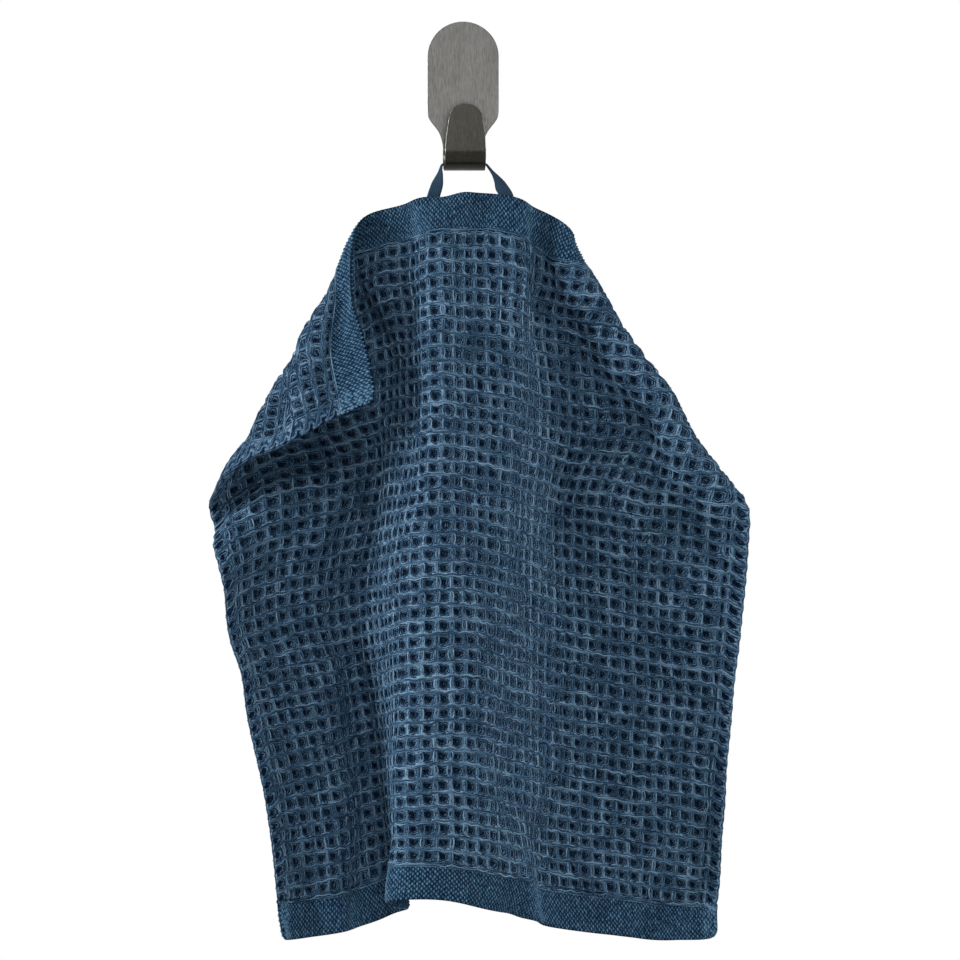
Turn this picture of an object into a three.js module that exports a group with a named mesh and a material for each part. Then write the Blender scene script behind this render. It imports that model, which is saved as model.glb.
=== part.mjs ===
// A square waffle-weave kitchen towel that hangs by its sewn tape loop from a bent strip hook.
// Millimetres. +Z is up, the front faces -Y, and the hook plate's flat back lies in y = 0 with its centre at the origin.
// "out" is the distance in front of that back plane, so out = -y.
import * as THREE from "three";

// ---------------------------------------------------------------- sizes
const CLOTH_WIDTH = 300; // selvedge to selvedge, laid flat
const CLOTH_LENGTH = 300; // top hem edge to bottom hem edge, laid flat
const CLOTH_THICKNESS = 2.4; // waffle weave, ridge to ridge
const CLOTH_CELLS = 46; // cells each way in the draped sheet
const WALL_CLEARANCE = 3.2; // least distance of the sheet's middle from the back plane

const STRIP_THICKNESS = 1.1; // steel strip of the hook
const PLATE_HALF_WIDTH = 15.2;
const PLATE_ARC_CENTRE_Z = 10.1; // centre of the plate's round top
const PLATE_STRAIGHT_END_Z = -11.9; // lower end of its parallel sides
const THROAT_INNER_RADIUS = 7.8;
const THROAT_CENTRE_Z = -29.4;
const PRONG_LEAN = 0.035; // how far the prong leans out, per mm of its height
const STRIP_ASKEW = 0.066; // the strip is bent a little askew: this far to the right, per mm it stands out
const PRONG_TOP_Z = -9.8;
const PRONG_TOP_RADIUS = 7.2;

const TAPE_WIDTH = 5.4;
const TAPE_THICKNESS = 0.9;
const TAPE_LEFT_ACROSS = -24; // where each leg is sewn behind the top hem
const TAPE_RIGHT_ACROSS = 16;
const TAPE_SEWN_LENGTH = 12;
const PIECE_GAP = 0.35; // between the tape and the cloth, and the tape and the hook

// ---------------------------------------------------------------- materials
const COTTON = { color: 0x1f3a52, roughness: 0.92, metalness: 0 }; // petrol-blue waffle weave
const TAPE = { color: 0x2b4257, roughness: 0.8, metalness: 0 }; // narrow cotton tape, a little greyer
const STEEL = { color: 0x8d8b87, roughness: 0.38, metalness: 1 }; // brushed strip

// ---------------------------------------------------------------- the drape
// Each table follows one edge, crease, ridge or valley of the hanging cloth. A row says which place of the flat cloth
// (across from its middle, down from its top edge) hangs where (x, out, z).
// "hold" and "hold_out" are how firmly the rows of that table keep their place seen from the front, and in depth.
const FOLDS = [
  { name: "top hem edge", hold: 1, hold_out: 1, rows: [
    // across, down, x, out, z
    [-61, 0, -38.5, 10, -56.5], [-50, 0, -30.5, 10, -54], [-38, 0, -22.5, 13, -51.5], [-24, 0, -12.5, 16, -49.7],
    [-14, 0, -5, 17, -48.4], [-4, 0, 3, 18, -47.7], [6, 0, 10.8, 17.6, -48.1], [16, 0, 18.5, 16.5, -49.3],
    [30, 0, 28, 13, -52.3], [44, 0, 37, 10, -57]] },
  { name: "left crease, turned forward", hold: 1, hold_out: 0.5, rows: [
    [-68, 1, -43, 12, -60.5], [-76, 7, -47.5, 13, -69], [-86, 16, -52.3, 14.5, -83], [-95, 24, -58.5, 16, -96.5],
    [-101, 30, -62, 17, -102.5], [-106.5, 36, -65.7, 18, -109], [-111.5, 42, -70.3, 19, -117], [-117, 48.5, -75, 20, -125],
    [-123, 55, -79, 21, -133.2], [-129, 61, -83.7, 22, -141.5], [-134.5, 68, -89, 23, -149.5],
    [-140, 75, -94.8, 24, -157.5], [-145.5, 82.5, -100.5, 24.5, -165]] },
  { name: "hem of the forward flap", hold: 1, hold_out: 0.4, rows: [
    [-78, 0, -47.2, 18, -68], [-91.5, 0, -48, 24, -80.8], [-105, 0, -46.8, 28.5, -93.5], [-118.7, 0, -42.9, 32.5, -106.3],
    [-132.2, 0, -39.5, 37, -119], [-150, 0, -36.8, 44, -137]] },
  { name: "forward flap", hold: 1, hold_out: 0.25, rows: [
    [-112, 17, -58.4, 25.5, -108], [-125, 17, -56.1, 29, -119.4], [-138, 17, -53.8, 34, -131], [-150, 17, -51.8, 38.5, -142.8],
    [-150, 37, -69.3, 39.5, -152], [-150, 46, -77, 39, -155.5], [-150, 57, -86.3, 38.5, -159.6],
    [-150, 66, -93.5, 37.5, -165], [-150, 75, -101.5, 35, -171], [-135, 42, -74.5, 33, -142]] },
  { name: "left selvedge", hold: 1, hold_out: 0.5, rows: [
    [-150, 83, -104.5, 30, -174.5], [-150, 90, -107, 24, -178], [-150, 98, -107.8, 17.5, -182], [-150, 107, -107.5, 16, -188.5],
    [-150, 116, -106.5, 17, -195.5], [-150, 150, -101, 25, -222],
    [-150, 175, -97, 29, -244.5], [-150, 200, -92.3, 29.5, -267], [-150, 225, -87.3, 29, -291.8],
    [-150, 250, -82.8, 28, -316.5], [-150, 275, -79.8, 27, -341], [-150, 300, -76, 26, -365.5]] },
  { name: "left panel", hold: 1, hold_out: 0.5, rows: [
    [-125, 110, -84.5, 16, -174], [-125, 150, -84, 18, -214], [-125, 200, -75, 20, -263], [-125, 250, -64, 19, -312.5],
    [-125, 300, -61, 18, -364]] },
  { name: "left hollow", hold: 1, hold_out: 0.5, rows: [
    [-100, 110, -55, 10, -168], [-100, 150, -61, 12, -209], [-100, 200, -54, 12, -259], [-100, 250, -47.5, 10.5, -308],
    [-100, 300, -44.5, 10, -360.5]] },
  { name: "left valley", hold: 1, hold_out: 0.5, rows: [
    [-68, 20, -43.5, 7, -77], [-72, 45, -39, 6.5, -101], [-72, 75, -36, 6.5, -130], [-72, 110, -33.5, 8, -163],
    [-72, 150, -39, 8, -204.5], [-72, 200, -37.5, 8.5, -254.5], [-72, 250, -32.5, 9, -302.5],
    [-80, 300, -30.5, 11, -355]] },
  { name: "steep side of the bulge, tucked under at the bottom", hold: 1, hold_out: 0.5, rows: [
    [-50, 20, -28.5, 11, -72.5], [-50, 45, -26.5, 15, -97], [-50, 75, -24, 20, -126.5], [-50, 110, -25, 27, -161],
    [-50, 150, -30.5, 28, -202.5], [-52, 200, -30.5, 30, -252.5], [-52, 250, -28.5, 30, -301.5],
    [-60, 300, -24.5, 25, -352]] },
  { name: "ridge", hold: 1, hold_out: 0.5, rows: [
    [-34, 17, -18.5, 17, -67], [-34, 45, -18, 25, -95], [-34, 75, -17, 33, -124.5], [-34, 110, -18.5, 41, -159.5],
    [-34, 150, -24, 46, -200], [-34, 200, -25.5, 50, -250.5], [-35, 250, -27, 50, -301], [-40, 300, -32, 44, -349.5]] },
  { name: "crest of the bulge", hold: 1, hold_out: 0.5, rows: [
    [-12, 17, -4.5, 22, -64.5], [-12, 45, -4.5, 31, -93], [-12, 75, -4.5, 38.5, -123], [-12, 110, -4.5, 45.5, -158],
    [-12, 150, -4.5, 51, -198], [-12, 200, -4.5, 54.5, -248.5], [-12, 250, -5, 54.5, -299.5], [-14, 300, -8, 48.5, -348.5]] },
  { name: "right shoulder", hold: 1, hold_out: 0.5, rows: [
    [12, 17, 15.5, 19, -64.5], [12, 45, 15.5, 27, -95], [12, 75, 16, 34, -125.5], [12, 110, 15.5, 39.5, -161],
    [12, 150, 14, 43.5, -201], [12, 200, 13, 46, -251.5], [12, 250, 12.5, 46, -302.5], [12, 300, 13, 41, -353]] },
  { name: "right flank", hold: 1, hold_out: 0.5, rows: [
    [32, 17, 28.5, 12, -71], [32, 45, 27, 18.5, -99.5], [32, 75, 27.5, 23, -129.5], [32, 110, 25, 27.5, -164.5],
    [32, 150, 23, 31, -204], [32, 200, 23, 33, -255], [32, 250, 22.5, 33, -305.5], [32, 300, 24, 28, -355.8]] },
  { name: "right valley", hold: 1, hold_out: 0.5, rows: [
    [50, 17, 39, 11, -77.5], [50, 45, 35.5, 12, -102.5], [50, 75, 37.5, 13, -133], [50, 110, 35, 15.5, -167.5],
    [50, 150, 32.5, 19.5, -207], [50, 200, 32, 21.5, -258], [50, 250, 31, 22, -308], [50, 300, 33, 19, -358.8]] },
  { name: "right slope", hold: 1, hold_out: 0.5, rows: [
    [75, 45, 55.5, 13, -107], [75, 75, 58.5, 13.5, -137], [75, 110, 52, 12, -171.5], [75, 150, 49.5, 11, -211],
    [75, 200, 49, 11, -262], [75, 250, 47, 10.5, -311.5], [75, 300, 49.5, 9, -362.2]] },
  { name: "right panel", hold: 1, hold_out: 0.5, rows: [
    [100, 75, 81.5, 17, -141], [100, 110, 74, 14.5, -175], [100, 150, 71.5, 11.5, -215], [100, 200, 70.5, 9.5, -265.5],
    [100, 250, 68.5, 8.5, -315], [100, 300, 70, 7.5, -364.6]] },
  { name: "right panel, outer part", hold: 1, hold_out: 0.5, rows: [
    [125, 110, 97.5, 17.5, -179], [125, 150, 94, 13, -218.5], [125, 200, 93.5, 10, -269], [125, 250, 91, 8, -318.5],
    [125, 300, 88.5, 7, -366]] },
  { name: "right crease, turned back", hold: 1, hold_out: 0.5, rows: [
    [61, 5, 46.5, 8, -70.3], [77, 24, 58.3, 10.5, -90.3], [97, 48, 74.8, 15, -116.3], [116, 72, 92.8, 19.5, -143.3],
    [136, 95, 109.2, 20.5, -168], [147, 109, 119, 20.5, -181.3]] },
  { name: "right selvedge", hold: 1, hold_out: 0.5, rows: [
    [150, 122, 122, 18.5, -194.5], [150, 150, 119.9, 14.5, -222], [150, 175, 117, 12.5, -246.8], [150, 200, 114.5, 11, -271.8],
    [150, 225, 112.3, 9.5, -296.6], [150, 250, 110.5, 8.5, -320.5], [150, 275, 109.2, 8, -343.8], [150, 300, 108, 7.5, -364.5]] },
  { name: "corner turned back behind the right panel", hold: 0.3, hold_out: 0.5, rows: [
    [72, 0, 40.5, 4, -78], [100, 0, 34, 3.8, -101.5], [128, 0, 26, 3.8, -128.5], [150, 0, 19.5, 4, -149],
    [128, 22, 44, 4, -144.5], [150, 50, 66.5, 4.5, -164], [150, 88, 103, 10.5, -176]] },
];

// How the cloth settles between those places.
const SETTLE_STEPS = 400;
const HOLD_REACH = 9; // mm of cloth round a held place that moves with it
const HOLD_PULL = 0.9; // share of the error taken out in one step, seen from the front
const HOLD_PULL_OUT = 0.4; // the same in depth
const ACROSS_STRETCH = [0.85, 1.03]; // a waffle weave gives most across
const DOWN_STRETCH = [0.95, 1.03];
const SKEW_STRETCH = [0.86, 1.07];
const BEND_ACROSS = [0.8, 1.1]; // two cells on: the tightest turn
const BEND_DOWN = [0.88, 1.1];
const BEND_SKEW = [0.82, 1.1];
const STIFFNESS_START = 0.3; // evens out the curvature, less and less
const STIFFNESS_END = 0.05;
const START_SOFTNESS = 2e-3; // the first surface passes this loosely through the rows
const START_SCALE = 100; // mm, keeps the equations of the first surface well scaled

const N = CLOTH_CELLS;
const ROW = N + 1;
const du = CLOTH_WIDTH / N;
const dv = CLOTH_LENGTH / N;

const holds = FOLDS.flatMap((fold) =>
  fold.rows.map(([across, down, x, out, z]) => ({ across, down, at: [x, -out, z], hold: fold.hold, hold_out: fold.hold_out })),
);

// Straight elimination with pivoting; b holds three right-hand sides a row.
function solve(A, b) {
  const n = A.length;
  for (let k = 0; k < n; k++) {
    let p = k;
    for (let i = k + 1; i < n; i++) if (Math.abs(A[i][k]) > Math.abs(A[p][k])) p = i;
    [A[k], A[p]] = [A[p], A[k]];
    [b[k], b[p]] = [b[p], b[k]];
    for (let i = k + 1; i < n; i++) {
      const f = A[i][k] / A[k][k];
      if (f === 0) continue;
      for (let j = k; j < n; j++) A[i][j] -= f * A[k][j];
      for (let c = 0; c < 3; c++) b[i][c] -= f * b[k][c];
    }
  }
  const x = b.map(() => [0, 0, 0]);
  for (let k = n - 1; k >= 0; k--)
    for (let c = 0; c < 3; c++) {
      let s = b[k][c];
      for (let j = k + 1; j < n; j++) s -= A[k][j] * x[j][c];
      x[k][c] = s / A[k][k];
    }
  return x;
}

// The first surface: a thin plate bent through the held places.
function firstSurface() {
  const m = holds.length;
  const plate = (r2) => (r2 > 0 ? 0.5 * r2 * Math.log(Math.max(r2, 1e-12)) : 0);
  const q = holds.map((h) => [h.across / START_SCALE, h.down / START_SCALE]);
  const A = [], b = [];
  for (let i = 0; i < m + 3; i++) {
    A.push(new Array(m + 3).fill(0));
    b.push(i < m ? [...holds[i].at] : [0, 0, 0]);
  }
  for (let i = 0; i < m; i++) {
    for (let j = 0; j < m; j++) A[i][j] = plate((q[i][0] - q[j][0]) ** 2 + (q[i][1] - q[j][1]) ** 2);
    A[i][i] += START_SOFTNESS;
    [1, q[i][0], q[i][1]].forEach((t, k) => { A[i][m + k] = t; A[m + k][i] = t; });
  }
  const w = solve(A, b);
  const X = new Float64Array(ROW * ROW * 3);
  for (let j = 0; j < ROW; j++)
    for (let i = 0; i < ROW; i++) {
      const u = (i * du - CLOTH_WIDTH / 2) / START_SCALE, v = (j * dv) / START_SCALE;
      for (let c = 0; c < 3; c++) {
        let s = w[m][c] + w[m + 1][c] * u + w[m + 2][c] * v;
        for (let k = 0; k < m; k++) s += w[k][c] * plate((u - q[k][0]) ** 2 + (v - q[k][1]) ** 2);
        X[(j * ROW + i) * 3 + c] = s;
      }
    }
  return X;
}

// Settles the cloth: held places pull, the weave keeps its lengths, curvature evens out, the back plane stops it.
function settle() {
  let X = firstSurface();
  const places = holds.map((h) => {
    const fi = (h.across + CLOTH_WIDTH / 2) / du, fj = h.down / dv;
    const i = Math.min(Math.max(Math.floor(fi), 0), N - 1), j = Math.min(Math.max(Math.floor(fj), 0), N - 1);
    const a = fi - i, b = fj - j, o = j * ROW + i;
    return { corner: [o, o + 1, o + ROW, o + ROW + 1], share: [(1 - a) * (1 - b), a * (1 - b), (1 - a) * b, a * b] };
  });
  const near = []; // for each point of the sheet: its holds, each with its share
  for (let j = 0; j < ROW; j++)
    for (let i = 0; i < ROW; i++) {
      const u = i * du - CLOTH_WIDTH / 2, v = j * dv;
      const s = holds.map((h) => Math.exp(-((u - h.across) ** 2 + (v - h.down) ** 2) / (2 * HOLD_REACH ** 2)));
      const total = Math.max(s.reduce((t, x) => t + x, 0), 0.35);
      near.push(s.map((x, k) => [k, x / total]).filter(([, x]) => x > 1e-9));
    }
  const keep = (A, B, rest, [lo, hi], stiff) => {
    const x = X[B] - X[A], y = X[B + 1] - X[A + 1], z = X[B + 2] - X[A + 2];
    const l = Math.sqrt(x * x + y * y + z * z), t = Math.min(Math.max(l, rest * lo), rest * hi);
    const f = ((l - t) / Math.max(l, 1e-9)) * 0.5 * stiff;
    X[A] += x * f; X[A + 1] += y * f; X[A + 2] += z * f;
    X[B] -= x * f; X[B + 1] -= y * f; X[B + 2] -= z * f;
  };
  const keepAcross = (step, range, stiff) => {
    for (let p = 0; p < 2 * step; p++)
      for (let i = p; i < ROW - step; i += 2 * step)
        for (let j = 0; j < ROW; j++) keep((j * ROW + i) * 3, (j * ROW + i + step) * 3, step * du, range, stiff);
  };
  const keepDown = (step, range, stiff) => {
    for (let p = 0; p < 2 * step; p++)
      for (let j = p; j < ROW - step; j += 2 * step)
        for (let i = 0; i < ROW; i++) keep((j * ROW + i) * 3, ((j + step) * ROW + i) * 3, step * dv, range, stiff);
  };
  const skew = Math.hypot(du, dv);
  const keepSkew = (step, range, stiff) => {
    for (let p = 0; p < 2 * step; p++) {
      for (let j = p; j < ROW - step; j += 2 * step)
        for (let i = 0; i < ROW - step; i++) keep((j * ROW + i) * 3, ((j + step) * ROW + i + step) * 3, step * skew, range, stiff);
      for (let j = p; j < ROW - step; j += 2 * step)
        for (let i = 0; i < ROW - step; i++) keep((j * ROW + i + step) * 3, ((j + step) * ROW + i) * 3, step * skew, range, stiff);
    }
  };
  const even = (stiff, stride, index) => {
    // curvature along one direction, and the evening out of that curvature
    const c = new Float64Array(X.length), c2 = new Float64Array(X.length);
    for (let a = 0; a < ROW; a++)
      for (let b = 1; b < N; b++) {
        const o = index(a, b);
        for (let k = 0; k < 3; k++) c[o + k] = (X[o - stride + k] + X[o + stride + k]) / 2 - X[o + k];
      }
    for (let a = 0; a < ROW; a++)
      for (let b = 1; b < N; b++) {
        const o = index(a, b);
        for (let k = 0; k < 3; k++) c2[o + k] = (c[o - stride + k] + c[o + stride + k]) / 2 - c[o + k];
      }
    const f = 0.5 * Math.min(1, stiff * 4);
    for (let o = 0; o < X.length; o++) X[o] += stiff * 0.2 * c[o] - f * c2[o];
  };
  for (let step = 0; step < SETTLE_STEPS; step++) {
    const pull = holds.map((h, k) => {
      const e = [...h.at];
      places[k].corner.forEach((o, q) => { for (let c = 0; c < 3; c++) e[c] -= X[o * 3 + c] * places[k].share[q]; });
      return [e[0] * HOLD_PULL * h.hold, e[1] * HOLD_PULL_OUT * h.hold_out, e[2] * HOLD_PULL * h.hold];
    });
    near.forEach((list, o) => list.forEach(([k, s]) => { for (let c = 0; c < 3; c++) X[o * 3 + c] += pull[k][c] * s; }));
    const stiff = STIFFNESS_START * (1 - step / SETTLE_STEPS) + STIFFNESS_END;
    even(stiff, ROW * 3, (a, b) => (b * ROW + a) * 3);
    even(stiff, 3, (a, b) => (a * ROW + b) * 3);
    keepAcross(2, BEND_ACROSS, 0.5);
    keepDown(2, BEND_DOWN, 0.5);
    keepSkew(2, BEND_SKEW, 0.5);
    for (let twice = 0; twice < 2; twice++) {
      keepAcross(1, ACROSS_STRETCH, 1);
      keepDown(1, DOWN_STRETCH, 1);
    }
    keepSkew(1, SKEW_STRETCH, 0.4);
    for (let o = 1; o < X.length; o += 3) X[o] = Math.min(X[o], -WALL_CLEARANCE);
  }
  return X;
}

const sheet = settle();
const sheetPoint = (i, j) => new THREE.Vector3().fromArray(sheet, (j * ROW + i) * 3);
// Unit normal on the reverse side of the cloth, which faces the back plane where the cloth hangs flat.
function sheetNormal(i, j) {
  const across = sheetPoint(Math.min(i + 1, N), j).sub(sheetPoint(Math.max(i - 1, 0), j));
  const down = sheetPoint(i, Math.min(j + 1, N)).sub(sheetPoint(i, Math.max(j - 1, 0)));
  return across.cross(down).normalize();
}

function meshOf(name, positions, triangles, { color, roughness, metalness }) {
  const g = new THREE.BufferGeometry();
  g.setAttribute("position", new THREE.Float32BufferAttribute(positions, 3));
  g.setIndex(triangles);
  g.computeVertexNormals();
  const mesh = new THREE.Mesh(g, new THREE.MeshStandardMaterial({ color, roughness, metalness }));
  mesh.name = name;
  return mesh;
}

// ---------------------------------------------------------------- towel: one closed sheet
function towel() {
  const positions = [], triangles = [];
  for (const side of [-1, 1])
    for (let j = 0; j < ROW; j++)
      for (let i = 0; i < ROW; i++)
        sheetPoint(i, j).addScaledVector(sheetNormal(i, j), (side * CLOTH_THICKNESS) / 2).toArray(positions, positions.length);
  const face = (i, j) => j * ROW + i, back = (i, j) => ROW * ROW + j * ROW + i;
  for (let j = 0; j < N; j++)
    for (let i = 0; i < N; i++) {
      // split each cell along its shorter diagonal
      const fall = sheetPoint(i, j).distanceTo(sheetPoint(i + 1, j + 1)) <= sheetPoint(i + 1, j).distanceTo(sheetPoint(i, j + 1));
      for (const [at, flip] of [[face, true], [back, false]]) {
        const a = at(i, j), b = at(i + 1, j), c = at(i + 1, j + 1), d = at(i, j + 1);
        for (const [p, q, r] of fall ? [[a, b, c], [a, c, d]] : [[a, b, d], [b, c, d]])
          triangles.push(...(flip ? [p, r, q] : [p, q, r]));
      }
    }
  // the rim closes the two sides
  const rim = [];
  for (let i = 0; i < N; i++) rim.push([i, 0]);
  for (let j = 0; j < N; j++) rim.push([N, j]);
  for (let i = N; i > 0; i--) rim.push([i, N]);
  for (let j = N; j > 0; j--) rim.push([0, j]);
  rim.forEach((p, k) => {
    const q = rim[(k + 1) % rim.length];
    const a = face(...p), b = face(...q), c = back(...q), d = back(...p);
    triangles.push(a, b, c, a, c, d);
  });
  return meshOf("towel", positions, triangles, COTTON);
}

// ---------------------------------------------------------------- hanging loop: one tape, turned through a quarter on each leg
function clothPlace(across, down) {
  const fi = (across + CLOTH_WIDTH / 2) / du, fj = down / dv;
  const i = Math.min(Math.floor(fi), N - 1), j = Math.min(Math.floor(fj), N - 1), a = fi - i, b = fj - j;
  return sheetPoint(i, j).multiplyScalar((1 - a) * (1 - b)).add(sheetPoint(i + 1, j).multiplyScalar(a * (1 - b)))
    .add(sheetPoint(i, j + 1).multiplyScalar((1 - a) * b)).add(sheetPoint(i + 1, j + 1).multiplyScalar(a * b));
}
const TAPE_OFF_CLOTH = CLOTH_THICKNESS / 2 + PIECE_GAP + TAPE_THICKNESS / 2 + 0.95; // the cloth curves, the tape lies flat
const HOOK_OUT = THROAT_INNER_RADIUS + STRIP_THICKNESS; // out of the throat's centre
const TAPE_REST_Z = THROAT_CENTRE_Z - 6.15; // middle of the tape where it lies in the throat
const NECK_HALF_WIDTH = 8.7;

// Free part of the tape: x, out, z, and how much of the quarter turn is left (1 = as at the hem, 0 = as on the hook).
const TAPE_FREE = [
  [-11.2, 13.3, -44.8, 0.72], [-10.5, 11.8, -41.4, 0.44], [-9.9, 10.2, -38.7, 0.18],
  [-9.45, HOOK_OUT + 0.3, -37, 0.04], [-9, HOOK_OUT, -36, 0], [-8, HOOK_OUT, TAPE_REST_Z + 0.12, 0],
  [-5.9, HOOK_OUT, TAPE_REST_Z, 0], [-1.4, HOOK_OUT, TAPE_REST_Z - 0.1, 0], [2.6, HOOK_OUT, TAPE_REST_Z - 0.1, 0],
  [7.1, HOOK_OUT, TAPE_REST_Z, 0], [9.2, HOOK_OUT, TAPE_REST_Z + 0.12, 0], [10.15, HOOK_OUT, -36, 0],
  [10.9, HOOK_OUT + 0.3, -37, 0.04], [12.5, 10.4, -39.2, 0.16], [14.4, 11.9, -42.2, 0.42], [16.2, 13.2, -45.3, 0.7],
];
const TAPE_STEPS = 66;

function hangingLoop() {
  const stations = []; // { at, wide } with wide the direction of the tape's width
  const leg = (across) => [TAPE_SEWN_LENGTH, TAPE_SEWN_LENGTH / 2, 0.6].map((down) => {
    const wide = clothPlace(across + TAPE_WIDTH, down).sub(clothPlace(across - TAPE_WIDTH, down)).normalize();
    const fall = clothPlace(across, down + dv / 2).sub(clothPlace(across, Math.max(down - dv / 2, 0)));
    const normal = wide.clone().cross(fall).normalize();
    return { at: clothPlace(across, down).addScaledVector(normal, TAPE_OFF_CLOTH), wide };
  });
  const left = leg(TAPE_LEFT_ACROSS), right = leg(TAPE_RIGHT_ACROSS).reverse();
  stations.push(...left);
  for (const [x, out, z, turn] of TAPE_FREE) {
    const hem = (x < 0 ? left[2] : right[0]).wide;
    // on the hook the width runs front to back; on each leg it turns towards the hem's own direction
    const wide = new THREE.Vector3(0, x < 0 ? -1 : 1, 0).lerp(hem, turn);
    if (x >= 0) wide.set(0, 1, 0).multiplyScalar(-(1 - turn)).addScaledVector(hem, turn);
    stations.push({ at: new THREE.Vector3(x, -out, z), wide: wide.normalize() });
  }
  stations.push(...right);
  const path = new THREE.CatmullRomCurve3(stations.map((s) => s.at), false, "centripetal");
  const positions = [], triangles = [];
  const last = stations.length - 1;
  for (let k = 0; k <= TAPE_STEPS; k++) {
    const t = k / TAPE_STEPS, f = t * last, i = Math.min(Math.floor(f), last - 1);
    const at = path.getPoint(t), along = path.getTangent(t);
    const wide = stations[i].wide.clone().lerp(stations[i + 1].wide, f - i);
    wide.addScaledVector(along, -wide.dot(along)).normalize();
    const flat = along.clone().cross(wide).normalize();
    for (const [w, h] of [[-1, -1], [1, -1], [1, 1], [-1, 1]])
      at.clone().addScaledVector(wide, (w * TAPE_WIDTH) / 2).addScaledVector(flat, (h * TAPE_THICKNESS) / 2)
        .toArray(positions, positions.length);
  }
  for (let k = 0; k < TAPE_STEPS; k++)
    for (let c = 0; c < 4; c++) {
      const a = k * 4 + c, b = k * 4 + ((c + 1) % 4);
      triangles.push(a, b, b + 4, a, b + 4, a + 4);
    }
  const e = TAPE_STEPS * 4;
  triangles.push(0, 2, 1, 0, 3, 2, e, e + 1, e + 2, e, e + 2, e + 3);
  return meshOf("hanging_loop", positions, triangles, TAPE);
}

// ---------------------------------------------------------------- hook: one steel strip, bent
// Neck of the plate below its parallel sides: z and half width.
const NECK = [
  [-14.2, 15.05], [-16.2, 14.45], [-18.2, 13.1], [-20.2, 11.5], [-22.2, 10.2], [-24.4, 9.35], [-26.8, 8.85],
];
const THROAT_STEPS = 16;
const PLATE_ARC_STEPS = 12;
const PRONG_ARC_STEPS = 10;

function wallHook() {
  const stations = []; // middle of the strip: out, z, half width, and the strip's normal in that plane
  const add = (out, z, half, n_out, n_z) => stations.push({ out, z, half, n_out, n_z });
  const mid = STRIP_THICKNESS / 2;
  for (let k = 0; k <= PLATE_ARC_STEPS; k++) {
    const a = THREE.MathUtils.lerp(0.09, Math.PI / 2, k / PLATE_ARC_STEPS);
    add(mid, PLATE_ARC_CENTRE_Z + PLATE_HALF_WIDTH * Math.cos(a), PLATE_HALF_WIDTH * Math.sin(a), 1, 0);
  }
  add(mid, PLATE_STRAIGHT_END_Z, PLATE_HALF_WIDTH, 1, 0);
  for (const [z, half] of NECK) add(mid, z, half, 1, 0);
  const r = THROAT_INNER_RADIUS + mid; // radius of the strip's middle round the throat
  const centreOut = THROAT_INNER_RADIUS + STRIP_THICKNESS;
  for (let k = 0; k <= THROAT_STEPS; k++) {
    const a = Math.PI * (k / THROAT_STEPS); // from the plate, under, to the prong
    add(centreOut - r * Math.cos(a), THROAT_CENTRE_Z - r * Math.sin(a), NECK_HALF_WIDTH, Math.cos(a), Math.sin(a));
  }
  const prongOut = centreOut + r, prongCentreZ = PRONG_TOP_Z - PRONG_TOP_RADIUS;
  const lean = (z) => prongOut + PRONG_LEAN * (z - THROAT_CENTRE_Z);
  add(lean(-23), -23, 8.25, -1, PRONG_LEAN);
  add(lean(prongCentreZ), prongCentreZ, PRONG_TOP_RADIUS + 0.1, -1, PRONG_LEAN);
  for (let k = 1; k <= PRONG_ARC_STEPS; k++) {
    const a = THREE.MathUtils.lerp(Math.PI / 2, 0.1, k / PRONG_ARC_STEPS);
    const z = prongCentreZ + PRONG_TOP_RADIUS * Math.cos(a);
    add(lean(z), z, PRONG_TOP_RADIUS * Math.sin(a), -1, PRONG_LEAN);
  }
  const positions = [], triangles = [];
  for (const s of stations)
    for (const [w, h] of [[-1, 1], [1, 1], [1, -1], [-1, -1]]) {
      const out = s.out + s.n_out * h * mid, z = s.z + s.n_z * h * mid;
      positions.push(w * s.half + STRIP_ASKEW * (s.out - mid), -out, z);
    }
  for (let k = 0; k < stations.length - 1; k++)
    for (let c = 0; c < 4; c++) {
      const a = k * 4 + c, b = k * 4 + ((c + 1) % 4);
      triangles.push(a, b + 4, b, a, a + 4, b + 4);
    }
  const e = (stations.length - 1) * 4;
  triangles.push(0, 1, 2, 0, 2, 3, e, e + 2, e + 1, e, e + 3, e + 2);
  return meshOf("wall_hook", positions, triangles, STEEL);
}

const part = new THREE.Group();
part.name = "kitchen_towel_and_wall_hook";
part.add(towel(), hangingLoop(), wallHook());
export default part;
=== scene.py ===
"""Looks of a waffle-weave towel that hangs by its tape loop from a brushed steel strip hook.

Metres in the scene; the tables below are in millimetres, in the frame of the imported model:
+Z up, front towards -Y, hook plate's back in y = 0. "out" is the distance in front of that plane.
"""
import math

import bpy
import numpy as np
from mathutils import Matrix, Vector


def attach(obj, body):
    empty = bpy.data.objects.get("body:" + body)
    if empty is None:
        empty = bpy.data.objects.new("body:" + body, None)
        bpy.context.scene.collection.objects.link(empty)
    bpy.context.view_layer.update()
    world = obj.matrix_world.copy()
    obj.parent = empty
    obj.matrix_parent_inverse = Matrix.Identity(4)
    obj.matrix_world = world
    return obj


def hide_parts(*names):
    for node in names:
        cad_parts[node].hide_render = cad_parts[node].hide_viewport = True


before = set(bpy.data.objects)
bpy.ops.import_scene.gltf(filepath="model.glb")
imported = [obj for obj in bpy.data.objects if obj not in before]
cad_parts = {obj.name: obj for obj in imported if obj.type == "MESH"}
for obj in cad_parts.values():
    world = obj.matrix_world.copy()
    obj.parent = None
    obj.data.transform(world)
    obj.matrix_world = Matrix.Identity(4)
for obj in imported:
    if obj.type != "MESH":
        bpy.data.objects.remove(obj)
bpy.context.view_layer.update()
RNG = np.random.default_rng(4271)

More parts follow.
